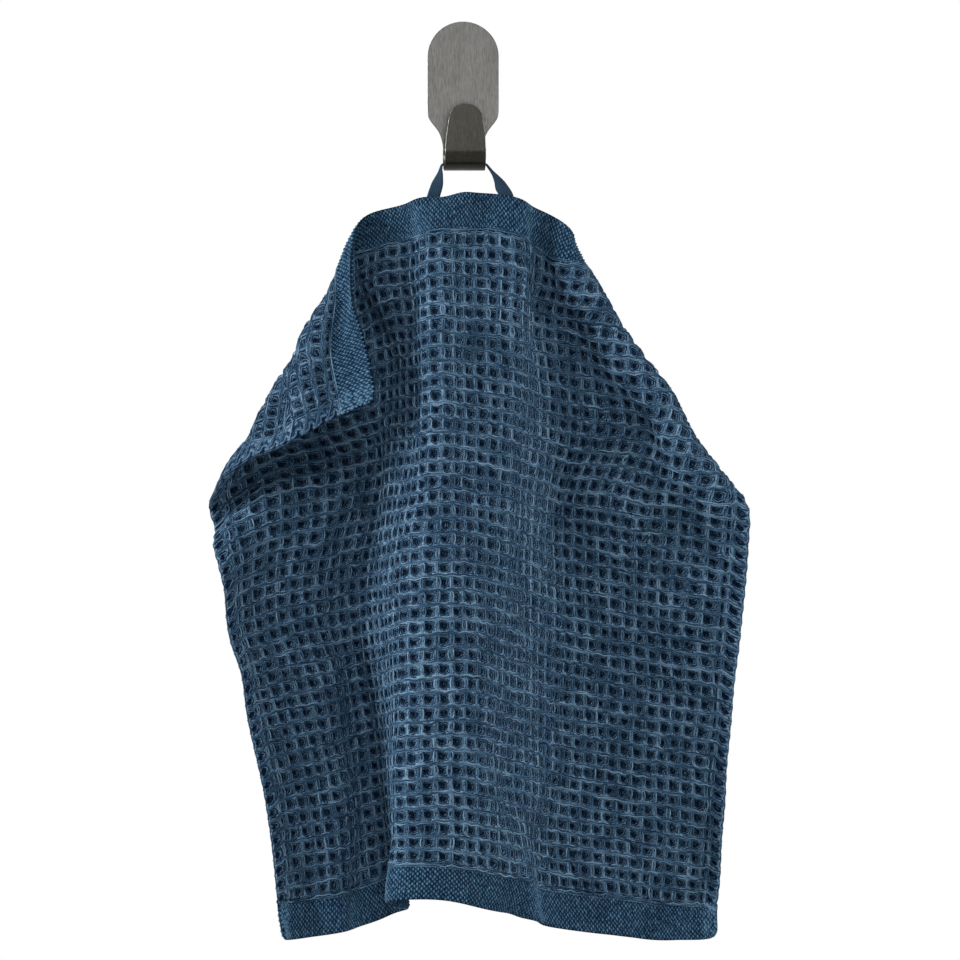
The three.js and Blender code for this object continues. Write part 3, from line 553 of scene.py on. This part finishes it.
def hem_grains(name, side, bottom):
    cols = int(WIDTH / GRAIN_U)
    rows = int((HEM - 1.2) / GRAIN_V)
    I, J = np.meshgrid(np.arange(cols), np.arange(rows + 1))
    keep = ((I % 2 == 0) | (J < rows))
    u0 = (I + 0.5) * GRAIN_U - WIDTH / 2
    v0 = 0.62 + (J + 0.5 * (I % 2)) * GRAIN_V
    u0, v0 = u0[keep], v0[keep]
    coarse = np.clip((np.abs(u0) - (WIDTH / 2 - 9)) / 3, 0, 1)      # by the selvedges the floats are longer and looser
    u0 = u0 + RNG.normal(0, 0.08, u0.shape) * (1 + coarse)
    v0 = v0 + RNG.normal(0, 0.12, v0.shape) * (1 + coarse)
    if bottom:
        v0 = LENGTH - v0
    a, b = np.meshgrid(np.linspace(-1, 1, 3), np.linspace(-1, 1, 3))
    dome = np.where(np.abs(a) + np.abs(b) < 0.5, 1.0, np.where(np.abs(a) + np.abs(b) < 1.5, 0.30, -0.15))
    size = RNG.uniform(0.84, 1.16, len(u0))[:, None, None] * (1 + 0.25 * coarse[:, None, None])
    tilt = RNG.normal(0, 0.10, len(u0))[:, None, None]
    u = u0[:, None, None] + (a + tilt * b) * 0.52 * GRAIN_U * size * (1 - 0.18 * np.abs(b))
    v = v0[:, None, None] + b * 0.40 * GRAIN_V * size
    h = HEM_LIFT + 0.62 * dome * size
    uc, vc = np.clip(u, -WIDTH / 2, WIDTH / 2), np.clip(v, 0, LENGTH)
    uc, vc = corner_round(uc, vc)
    rim = np.clip(np.minimum(np.minimum(v, LENGTH - v), WIDTH / 2 - np.abs(u)) / 1.0, 0.25, 1)
    P, n = on_cloth(uc, vc)
    # grains at the very edge stand past it by a fraction of a millimetre
    verts = P + n * (side * h * rim)[..., None]
    q = grid_quads(3, 3, flip=side < 0)
    quads = (np.arange(len(u0))[:, None, None] * 9 + q[None]).reshape(-1, 4)
    uv = np.stack([u + WIDTH / 2, LENGTH - v], -1).reshape(-1, 2)[quads] * MM
    tone = np.clip(RNG.normal(0.5, 0.10, len(u0)) + 0.15 * coarse, 0, 1)[:, None] * np.ones(9)
    # painted shade: each grain's top is lighter than its rim, as light falls on it
    top = np.broadcast_to(np.clip(dome, 0, 1).ravel(), (len(u0), 9))
    return add_mesh(name, verts, quads, uv, values={"tone": tone, "top": top})


grains = [hem_grains("top_hem_face", 1, False), hem_grains("bottom_hem_face", 1, True),
          hem_grains("top_hem_reverse", -1, False), hem_grains("bottom_hem_reverse", -1, True)]

# ------------------------------------------------------------------ hanging loop: a woven tape
TAPE_WIDTH, TAPE_THICK = 5.4, 0.9
TAPE_OFF = 1.95                  # middle of the sewn ends behind the cloth's middle
HOOK_OUT = 8.9                   # middle of the tape in front of the back plane, on the hook
TAPE_REST = -35.55
TAPE_SEWN, TAPE_LEFT, TAPE_RIGHT = 12.0, -24.0, 16.0
# x, out, z, and how much of the quarter turn is left
TAPE_FREE = [
    [-11.2, 13.3, -44.8, 0.72], [-10.5, 11.8, -41.4, 0.44], [-9.9, 10.2, -38.7, 0.18],
    [-9.45, HOOK_OUT + 0.3, -37, 0.04], [-9, HOOK_OUT, -36, 0], [-8, HOOK_OUT, TAPE_REST + 0.12, 0],
    [-5.9, HOOK_OUT, TAPE_REST, 0], [-1.4, HOOK_OUT, TAPE_REST - 0.1, 0], [2.6, HOOK_OUT, TAPE_REST - 0.1, 0],
    [7.1, HOOK_OUT, TAPE_REST, 0], [9.2, HOOK_OUT, TAPE_REST + 0.12, 0], [10.15, HOOK_OUT, -36, 0],
    [10.9, HOOK_OUT + 0.3, -37, 0.04], [12.5, 10.4, -39.2, 0.16], [14.4, 11.9, -42.2, 0.42], [16.2, 13.2, -45.3, 0.7],
]


def unit(v):
    return v / (np.linalg.norm(v, axis=-1, keepdims=True) + 1e-12)


def cloth_at(u, v):
    return on_cloth(np.array([u], float), np.array([v], float))[0][0]


def smooth_path(points, steps):
    """Centripetal spline through points: places, directions and the running parameter."""
    p = np.vstack([2 * points[0] - points[1], points, 2 * points[-1] - points[-2]])
    out, par = [], []
    n = len(points) - 1
    for k in range(steps + 1):
        t = k / steps * n
        i = min(int(t), n - 1)
        f = t - i
        a, b, c, d = p[i:i + 4]
        ta = 0.0
        tb = ta + np.linalg.norm(b - a) ** 0.5
        tc = tb + np.linalg.norm(c - b) ** 0.5
        td = tc + np.linalg.norm(d - c) ** 0.5
        x = tb + f * (tc - tb)
        A1 = (tb - x) / (tb - ta) * a + (x - ta) / (tb - ta) * b
        A2 = (tc - x) / (tc - tb) * b + (x - tb) / (tc - tb) * c
        A3 = (td - x) / (td - tc) * c + (x - tc) / (td - tc) * d
        B1 = (tc - x) / (tc - ta) * A1 + (x - ta) / (tc - ta) * A2
        B2 = (td - x) / (td - tb) * A2 + (x - tb) / (td - tb) * A3
        out.append((tc - x) / (tc - tb) * B1 + (x - tb) / (tc - tb) * B2)
        par.append(t)
    out = np.array(out)
    return out, unit(np.gradient(out, axis=0)), np.array(par)


def tape_leg(across):
    rows = []
    for down in (TAPE_SEWN, TAPE_SEWN / 2, 0.6):
        wide = unit(cloth_at(across + TAPE_WIDTH, down) - cloth_at(across - TAPE_WIDTH, down))
        fall = cloth_at(across, down + 3.26) - cloth_at(across, max(down - 3.26, 0))
        rows.append((cloth_at(across, down) + unit(np.cross(wide, fall)) * TAPE_OFF, wide))
    return rows


def hanging_tape():
    left, right = tape_leg(TAPE_LEFT), tape_leg(TAPE_RIGHT)[::-1]
    at, wide = [r[0] for r in left], [r[1] for r in left]
    for x, o, z, turn in TAPE_FREE:
        if x < 0:
            w = np.array([0.0, -1, 0]) * (1 - turn) + left[2][1] * turn
        else:
            w = np.array([0.0, 1, 0]) * -(1 - turn) + right[0][1] * turn
        at.append(np.array([x, -o, z], float))
        wide.append(unit(w))
    at += [r[0] for r in right]
    wide += [r[1] for r in right]
    path, along, par = smooth_path(np.array(at), 260)
    wide = np.array(wide)
    i = np.minimum(par.astype(int), len(wide) - 2)
    w = wide[i] + (wide[i + 1] - wide[i]) * (par - i)[:, None]
    w = unit(w - along * (w * along).sum(1, keepdims=True))
    flat = np.cross(along, w)
    # section: ribs down each face, round selvedges
    k = 13
    x = np.linspace(-1, 1, k)
    rib = 0.05 * np.cos(np.pi * (k - 1) / 2 * (x + 1))
    top = np.stack([x * TAPE_WIDTH / 2, (0.5 * TAPE_THICK + rib) * np.sqrt(np.clip(1 - (np.abs(x) ** 8) * 0.96, 0, 1))], 1)
    sec = np.concatenate([top, top[::-1] * [1, -1]])
    m = len(sec)
    run = np.concatenate([[0], np.cumsum(np.linalg.norm(np.diff(path, axis=0), axis=1))])
    weft = 1 + 0.05 * np.sin(run * 2 * np.pi / 0.62)[:, None] * np.where(np.arange(m) % 2 == 0, 1, -1)[None]
    edge = 1 + 0.012 * np.sin(run * 2 * np.pi / 1.24)[:, None] * np.ones(m)[None]
    verts = path[:, None] + w[:, None] * (sec[None, :, :1] * edge[..., None]) + flat[:, None] * (sec[None, :, 1:] * weft[..., None])
    idx = np.arange(len(path) * m).reshape(len(path), m)
    a, b = idx[:-1], idx[1:]
    quads = np.stack([a, b, np.roll(b, -1, 1), np.roll(a, -1, 1)], -1).reshape(-1, 4)
    # caps, as strips of quads across the section
    caps = []
    for row, turn in ((idx[0], 1), (idx[-1], -1)):
        for c in range(k - 1):
            q = [row[c], row[m - 1 - c], row[m - 2 - c], row[c + 1]]
            caps.append(q if turn < 0 else q[::-1])
    quads = np.concatenate([quads, np.array(caps)])
    ring = np.concatenate([[0], np.cumsum(np.linalg.norm(np.diff(sec, axis=0), axis=1))])
    flatuv = np.stack([np.broadcast_to(ring[None], (len(path), m)), np.broadcast_to(run[:, None], (len(path), m))], -1).reshape(-1, 2)
    o = add_mesh("hanging_tape", verts, quads, flatuv[quads] * MM)
    return o, path, w, flat, run


tape, tape_path, tape_wide, tape_flat, tape_run = hanging_tape()
TAPE_LENGTH = float(tape_run[-1])


def stitches(name, runs, radius=0.16):
    """Short joined tubes, each from one point to another, bowed out from the cloth."""
    C, Nn = [], []
    for p, q, n in runs:
        t = np.linspace(0, 1, 5)[:, None]
        C.append(p + (q - p) * t + n * (0.30 * np.sin(np.pi * t) - 0.12))
        Nn.append(np.broadcast_to(n, (5, 3)))
    C, Nn = np.array(C), np.array(Nn)
    return tubes(name, C, Nn, np.full(C.shape[:2], radius), 6, 1.0, strand_tone(*C.shape[:2]))


def tape_stitches():
    """Each end of the tape is sewn down in a box: two lines along it and two across."""
    runs = []
    for across in (TAPE_LEFT, TAPE_RIGHT):
        def on_tape(x, down):
            wide = unit(cloth_at(across + TAPE_WIDTH, down) - cloth_at(across - TAPE_WIDTH, down))
            fall = cloth_at(across, down + 3.26) - cloth_at(across, max(down - 3.26, 0))
            n = unit(np.cross(wide, fall))
            return cloth_at(across, down) + n * (TAPE_OFF + TAPE_THICK / 2 + 0.05) + wide * x, n
        for x in (-1.8, 1.8):
            for k in range(5):
                p, n = on_tape(x, 1.6 + 1.95 * k)
                q, _ = on_tape(x, 1.6 + 1.95 * k + 1.5)
                runs.append((p, q, n))
        for down in (1.5, 11.0):
            for k in range(2):
                p, n = on_tape(-1.5 + 1.7 * k, down)
                q, _ = on_tape(-1.5 + 1.7 * k + 1.3, down)
                runs.append((p, q, n))
    return stitches("tape_stitches", runs)


sewing = tape_stitches()

# ------------------------------------------------------------------ hook: one brushed steel strip, bent
STRIP = 1.1
PLATE_HALF, PLATE_ARC_Z, PLATE_LOW_Z = 15.2, 10.1, -11.9
THROAT_R, THROAT_Z = 7.8, -29.4
PRONG_LEAN, PRONG_TOP, PRONG_R, NECK_HALF = 0.035, -9.8, 7.2, 8.7
STRIP_ASKEW = 0.066
NECK = [[-14.2, 15.05], [-16.2, 14.45], [-18.2, 13.1], [-20.2, 11.5], [-22.2, 10.2], [-24.4, 9.35], [-26.8, 8.85]]  # z, half width


def strip_hook():
    rows = []                                # out, z, half width, normal out, normal z, part of the strip (0 plate, 1 bend, 2 prong)
    mid = STRIP / 2
    for a in np.linspace(0.03, math.pi / 2, 44):
        rows.append((mid, PLATE_ARC_Z + PLATE_HALF * math.cos(a), PLATE_HALF * math.sin(a), 1, 0, 0))
    for z in np.linspace(PLATE_ARC_Z, PLATE_LOW_Z, 8)[1:]:
        rows.append((mid, z, PLATE_HALF, 1, 0, 0))
    nz, nh = np.array(NECK).T
    zs = np.concatenate([[PLATE_LOW_Z], nz, [THROAT_Z]])
    hs = np.concatenate([[PLATE_HALF], nh, [NECK_HALF]])
    W = spline_weights(len(zs), np.linspace(0, len(zs) - 1, 33))
    for z, h in zip((W @ zs)[1:-1], (W @ hs)[1:-1]):
        rows.append((mid, z, h, 1, 0, 0))
    r, centre = THROAT_R + mid, THROAT_R + STRIP
    for a in np.linspace(0, math.pi, 41):
        rows.append((centre - r * math.cos(a), THROAT_Z - r * math.sin(a), NECK_HALF, math.cos(a), math.sin(a), 1))
    prong, top = centre + r, PRONG_TOP - PRONG_R
    lean = lambda z: prong + PRONG_LEAN * (z - THROAT_Z)
    for z, h in zip(np.linspace(THROAT_Z, top, 12)[1:], np.interp(np.linspace(THROAT_Z, top, 12)[1:], [THROAT_Z, -23, top], [NECK_HALF, 8.25, 7.3])):
        rows.append((lean(z), z, h, -1, PRONG_LEAN, 2))
    for a in np.linspace(math.pi / 2, 0.04, 30)[1:]:
        z = top + PRONG_R * math.cos(a)
        rows.append((lean(z), z, PRONG_R * math.sin(a), -1, PRONG_LEAN, 2))
    rows = np.array(rows, float)
    # section: twelve points round, with small chamfers, and a line just inside each so that the faces shade flat
    c = 0.16
    verts = []
    for o, z, half, no, nzz, _ in rows:
        cw, inset = min(c, half * 0.25), min(0.35, half * 0.3)
        for w, h in ((-half, mid - c), (-half + cw, mid), (-half + cw + inset, mid), (half - cw - inset, mid), (half - cw, mid),
                     (half, mid - c), (half, -mid + c), (half - cw, -mid), (half - cw - inset, -mid),
                     (-half + cw + inset, -mid), (-half + cw, -mid), (-half, -mid + c)):
            verts.append((w + STRIP_ASKEW * (o - mid), -(o + no * h), z + nzz * h))
    verts = np.array(verts)
    n = len(rows)
    idx = np.arange(n * 12).reshape(n, 12)
    a, b = idx[:-1], idx[1:]
    quads = np.stack([a, b, np.roll(b, -1, 1), np.roll(a, -1, 1)], -1).reshape(-1, 4).tolist()
    # 0 the strip's outer face, 1 its other face, painted darker as a dark reflection, 2 the cut edge, painted lighter
    # as a highlight
    kinds = [0 if e in (1, 2, 3) else 1 if e in (7, 8, 9) else 2 for _ in range(n - 1) for e in range(12)]
    for row, flip in ((idx[0], False), (idx[-1], True)):
        for q in ([0, 1, 2, 3], [0, 3, 4, 5], [0, 5, 6, 11], [11, 6, 7, 8], [11, 8, 9, 10]):
            q = [row[i] for i in q]
            quads.append(q[::-1] if flip else q)
            kinds.append(2)
    o = add_mesh("bent_strip", verts, np.array(quads), None, smooth=True)
    return o, np.array(kinds, np.int32)


hook, hook_kinds = strip_hook()

# ------------------------------------------------------------------ materials
def material(name):
    m = bpy.data.materials.new(name)
    m.use_nodes = True
    nt = m.node_tree
    bsdf = nt.nodes["Principled BSDF"]
    return m, nt, bsdf


def node(nt, kind, **set_to):
    n = nt.nodes.new(kind)
    for k, v in set_to.items():
        if k in n.inputs:
            n.inputs[k].default_value = v
        else:
            setattr(n, k, v)
    return n


def link(nt, a, b):
    nt.links.new(a, b)


def ramp(nt, source, stops):
    r = nt.nodes.new("ShaderNodeValToRGB")
    e = r.color_ramp.elements
    while len(e) < len(stops):
        e.new(0.5)
    for s, (pos, col) in zip(e, stops):
        s.position = pos
        s.color = (*col, 1)
    link(nt, source, r.inputs["Fac"])
    return r


# the ramp's dark end is the dye's dark and the painted shade in the cells and under the hem grains
DYE_DARK_AND_PAINTED_SHADE = (0.0004, 0.005, 0.018)
DYE_MID = (0.014, 0.045, 0.094)
DYE_LIGHT = (0.200, 0.330, 0.470)


def scaled(nt, source, factor, offset=0.0):
    """source * factor + offset, as a node output."""
    n = node(nt, "ShaderNodeMath", operation="MULTIPLY_ADD")
    n.inputs[1].default_value = factor
    n.inputs[2].default_value = offset
    link(nt, source, n.inputs[0])
    return n.outputs[0]


def added(nt, a, b, operation="ADD"):
    n = node(nt, "ShaderNodeMath", operation=operation)
    link(nt, a, n.inputs[0])
    link(nt, b, n.inputs[1])
    return n.outputs[0]


def fibres(nt, uv, scale, detail=4.0, rough=0.75):
    n = node(nt, "ShaderNodeTexNoise", Scale=scale, Detail=detail, Roughness=rough)
    link(nt, uv, n.inputs["Vector"])
    return n.outputs["Fac"]


def attribute(nt, name):
    return node(nt, "ShaderNodeAttribute", attribute_name=name).outputs["Fac"]


def cotton_finish(bsdf, sheen):
    bsdf.inputs["Roughness"].default_value = 0.92
    bsdf.inputs["Specular IOR Level"].default_value = 0.05
    bsdf.inputs["Sheen Weight"].default_value = sheen
    bsdf.inputs["Sheen Roughness"].default_value = 0.5
    bsdf.inputs["Sheen Tint"].default_value = (0.5, 0.75, 1.0, 1)


def cloth_material():
    """The waffle itself: lighter on the ridges, darker in the cells by painted shade, with the fine floats that ring
    each cell; the sheet under the hem grains is painted dark as shade.
    """
    m, nt, bsdf = material("waffle_cotton")
    uv = node(nt, "ShaderNodeUVMap", uv_map="lay").outputs["UV"]
    pit_and_painted_shade, hem, height = attribute(nt, "pit_and_painted_shade"), attribute(nt, "hem"), attribute(nt, "height")
    fine = fibres(nt, uv, 2200.0)
    coarse = fibres(nt, uv, 620.0, 3.0, 0.65)
    cloud = fibres(nt, uv, 38.0, 3.0, 0.6)
    rings = node(nt, "ShaderNodeMath", operation="SINE")
    link(nt, added(nt, scaled(nt, height, 10.5), scaled(nt, coarse, 2.4)), rings.inputs[0])
    # painted shade: the cells are darkened, deeper places and left sides more
    tone = added(nt, scaled(nt, pit_and_painted_shade, -0.64, 0.57), scaled(nt, fine, 2.2, -1.10))
    tone = added(nt, tone, scaled(nt, coarse, 1.0, -0.50))
    tone = added(nt, tone, scaled(nt, cloud, 0.22, -0.11))
    tone = added(nt, tone, scaled(nt, rings.outputs[0], 0.26))
    # painted shade: the sheet under the hem grains is darkened, as the gaps between them
    tone = added(nt, tone, scaled(nt, hem, -0.62))
    r = ramp(nt, tone, [(0.0, DYE_DARK_AND_PAINTED_SHADE), (0.42, DYE_MID), (1.0, DYE_LIGHT)])
    link(nt, r.outputs["Color"], bsdf.inputs["Base Color"])
    cotton_finish(bsdf, 0.03)
    bump = node(nt, "ShaderNodeBump", Strength=1.0, Distance=0.0004)
    link(nt, added(nt, added(nt, fine, coarse), scaled(nt, rings.outputs[0], 0.6)), bump.inputs["Height"])
    link(nt, bump.outputs["Normal"], bsdf.inputs["Normal"])
    return m


def yarn_material(name, dark, mid, light, painted_lit_tops=False):
    m, nt, bsdf = material(name)
    uv = node(nt, "ShaderNodeUVMap", uv_map="lay").outputs["UV"]
    fine = fibres(nt, uv, 2600.0, 3.0, 0.7)
    twist = node(nt, "ShaderNodeTexWave", wave_type="BANDS", bands_direction="DIAGONAL")
    twist.inputs["Scale"].default_value = 420.0
    twist.inputs["Distortion"].default_value = 1.5
    link(nt, uv, twist.inputs["Vector"])
    tone = added(nt, scaled(nt, attribute(nt, "tone"), 0.85, -0.08), scaled(nt, fine, 1.5, -0.65))
    # painted shade: grain tops lighter, rims darker
    if painted_lit_tops:
        tone = added(nt, tone, scaled(nt, attribute(nt, "top"), 0.95, -0.46))
    r = ramp(nt, tone, [(0.0, dark), (0.5, mid), (1.0, light)])
    link(nt, r.outputs["Color"], bsdf.inputs["Base Color"])
    cotton_finish(bsdf, 0.04)
    bump = node(nt, "ShaderNodeBump", Strength=0.45, Distance=0.00012)
    link(nt, added(nt, twist.outputs["Fac"], fine), bump.inputs["Height"])
    link(nt, bump.outputs["Normal"], bsdf.inputs["Normal"])
    return m


def tape_material():
    """A plain-woven cotton tape: fine ribs along it, crossed by the weft."""
    m, nt, bsdf = material("cotton_tape")
    uv = node(nt, "ShaderNodeUVMap", uv_map="lay").outputs["UV"]
    fine = fibres(nt, uv, 2400.0)
    warp = node(nt, "ShaderNodeTexWave", wave_type="BANDS", bands_direction="X")
    warp.inputs["Scale"].default_value = 350.0
    warp.inputs["Distortion"].default_value = 0.6
    weft = node(nt, "ShaderNodeTexWave", wave_type="BANDS", bands_direction="Y")
    weft.inputs["Scale"].default_value = 520.0
    weft.inputs["Distortion"].default_value = 0.8
    for w in (warp, weft):
        link(nt, uv, w.inputs["Vector"])
    weave = added(nt, warp.outputs["Fac"], weft.outputs["Fac"], "MULTIPLY")
    tone = added(nt, scaled(nt, weave, 0.6, 0.1), scaled(nt, fine, 0.6, -0.2))
    r = ramp(nt, tone, [(0.0, (0.006, 0.016, 0.030)), (0.5, (0.022, 0.046, 0.076)), (1.0, (0.065, 0.118, 0.170))])
    link(nt, r.outputs["Color"], bsdf.inputs["Base Color"])
    cotton_finish(bsdf, 0.05)
    bump = node(nt, "ShaderNodeBump", Strength=0.5, Distance=0.00015)
    link(nt, added(nt, weave, fine), bump.inputs["Height"])
    link(nt, bump.outputs["Normal"], bsdf.inputs["Normal"])
    return m


def steel_material(name, dark, light, rough, grain):
    """Brushed steel: long scratches down the strip vary its colour, roughness and relief."""
    m, nt, bsdf = material(name)
    where = node(nt, "ShaderNodeTexCoord").outputs["Object"]
    stretch = node(nt, "ShaderNodeMapping")
    stretch.inputs["Scale"].default_value = (1.0, 1.0, 0.10)
    link(nt, where, stretch.inputs["Vector"])
    scratch = node(nt, "ShaderNodeTexNoise", Scale=3200.0, Detail=5.0, Roughness=0.72)
    link(nt, stretch.outputs["Vector"], scratch.inputs["Vector"])
    band = node(nt, "ShaderNodeTexNoise", Scale=420.0, Detail=2.0, Roughness=0.5)
    link(nt, stretch.outputs["Vector"], band.inputs["Vector"])
    cloud = node(nt, "ShaderNodeTexNoise", Scale=70.0, Detail=3.0, Roughness=0.6)
    link(nt, where, cloud.inputs["Vector"])
    tone = added(nt, scaled(nt, scratch.outputs["Fac"], 1.3, -0.20), scaled(nt, band.outputs["Fac"], 0.2, -0.05))
    tone = added(nt, tone, scaled(nt, cloud.outputs["Fac"], 0.15, -0.08))
    r = ramp(nt, tone, [(0.25, dark), (0.8, light)])
    link(nt, r.outputs["Color"], bsdf.inputs["Base Color"])
    bsdf.inputs["Metallic"].default_value = 1.0
    link(nt, scaled(nt, scratch.outputs["Fac"], grain, rough - grain / 2), bsdf.inputs["Roughness"])
    bsdf.inputs["Anisotropic"].default_value = 0.5
    bump = node(nt, "ShaderNodeBump", Strength=0.35, Distance=0.00003)
    link(nt, scratch.outputs["Fac"], bump.inputs["Height"])
    link(nt, bump.outputs["Normal"], bsdf.inputs["Normal"])
    return m


COTTON = cloth_material()
YARN_MAT = yarn_material("ridge_yarn", (0.004, 0.019, 0.050), (0.047, 0.104, 0.176), (0.225, 0.365, 0.500))
GRAIN_MAT = yarn_material("hem_yarn", (0.001, 0.010, 0.028), (0.032, 0.080, 0.138), (0.125, 0.245, 0.370), painted_lit_tops=True)
TAPE_MAT = tape_material()
SEWING_MAT = yarn_material("sewing_thread", (0.020, 0.036, 0.056), (0.045, 0.078, 0.115), (0.09, 0.145, 0.20))
STEEL = [steel_material("brushed_steel", (0.066, 0.065, 0.062), (0.21, 0.206, 0.199), 0.38, 0.20),
         # the strip's other face, which faces front on the prong: a darker copy of the steel, painted dark reflection
         steel_material("brushed_steel_painted_dark_reflection", (0.024, 0.023, 0.020), (0.060, 0.058, 0.051), 0.32, 0.10),
         # the cut edges: a lighter copy of the steel, painted highlight
         steel_material("steel_edge_painted_highlight", (0.14, 0.138, 0.134), (0.30, 0.296, 0.286), 0.28, 0.12)]
for o in (front, reverse):
    o.data.materials.append(COTTON)
for o in yarns:
    o.data.materials.append(YARN_MAT)
for o in grains:
    o.data.materials.append(GRAIN_MAT)
tape.data.materials.append(TAPE_MAT)
sewing.data.materials.append(SEWING_MAT)
for m in STEEL:
    hook.data.materials.append(m)
hook.data.polygons.foreach_set("material_index", hook_kinds)

cloth = (front, reverse, *yarns, *grains)
for o in cloth:
    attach(o, "root")
for o in (tape, sewing):
    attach(o, "root")
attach(hook, "root")
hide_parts("towel")
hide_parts("hanging_loop")
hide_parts("wall_hook")

# ------------------------------------------------------------------ camera, light, floor
AIM = Vector((0.0072, 0.0, -0.170))
FAR = 12.0
camera = bpy.data.objects.new("camera", bpy.data.cameras.new("camera"))
bpy.context.scene.collection.objects.link(camera)
camera.location = AIM + Vector((0, -FAR, 0))
camera.rotation_euler = (math.pi / 2, 0, 0)
camera.data.sensor_width = 36.0
camera.data.lens = 36.0 * (FAR - 0.03) / 0.408
camera.data.clip_end = 100
bpy.context.scene.camera = camera
bpy.context.scene.view_settings.view_transform = "Standard"

world = bpy.data.worlds.new("studio")
bpy.context.scene.world = world
world.use_nodes = True
wt = world.node_tree
back = wt.nodes["Background"]
path = wt.nodes.new("ShaderNodeLightPath")
white = wt.nodes.new("ShaderNodeBackground")
white.inputs["Color"].default_value = (1, 1, 1, 1)
white.inputs["Strength"].default_value = 1.0
back.inputs["Color"].default_value = (1, 1, 1, 1)
back.inputs["Strength"].default_value = 0.01
pick = wt.nodes.new("ShaderNodeMixShader")
wt.links.new(path.outputs["Is Camera Ray"], pick.inputs[0])
wt.links.new(back.outputs[0], pick.inputs[1])
wt.links.new(white.outputs[0], pick.inputs[2])
wt.links.new(pick.outputs[0], wt.nodes["World Output"].inputs["Surface"])


def softbox(name, around, up, wide, strength):
    """A wide soft light far off: degrees round from the front (plus is right) and up, its spread, its strength."""
    d = bpy.data.lights.new(name, "SUN")
    d.angle = math.radians(wide)
    d.energy = strength
    o = bpy.data.objects.new(name, d)
    bpy.context.scene.collection.objects.link(o)
    r, e = math.radians(around), math.radians(up)
    to = Vector((math.sin(r) * math.cos(e), -math.cos(r) * math.cos(e), math.sin(e)))
    o.location = to * 2
    o.rotation_euler = to.to_track_quat("Z", "Y").to_euler()
    return o


softbox("key_left", -75, 3, 22, 2.6)
softbox("key_left_high", -75, 31, 20, 1.25)
softbox("fill_right", 75, 0, 25, 1.2)
softbox("top_front", 0, 50, 22, 1.35)
softbox("top_right", 72, 55, 25, 0.8)
softbox("front", 4, 2, 20, 0.50)

floor = add_mesh("floor", np.array([[-4000, -4000, -900], [4000, -4000, -900], [4000, 4000, -900], [-4000, 4000, -900]]), np.array([[0, 1, 2, 3]]), smooth=False)
fm, fnt, fb = material("pale_floor")
fb.inputs["Base Color"].default_value = (0.8, 0.8, 0.79, 1)
fb.inputs["Roughness"].default_value = 0.9
floor.data.materials.append(fm)
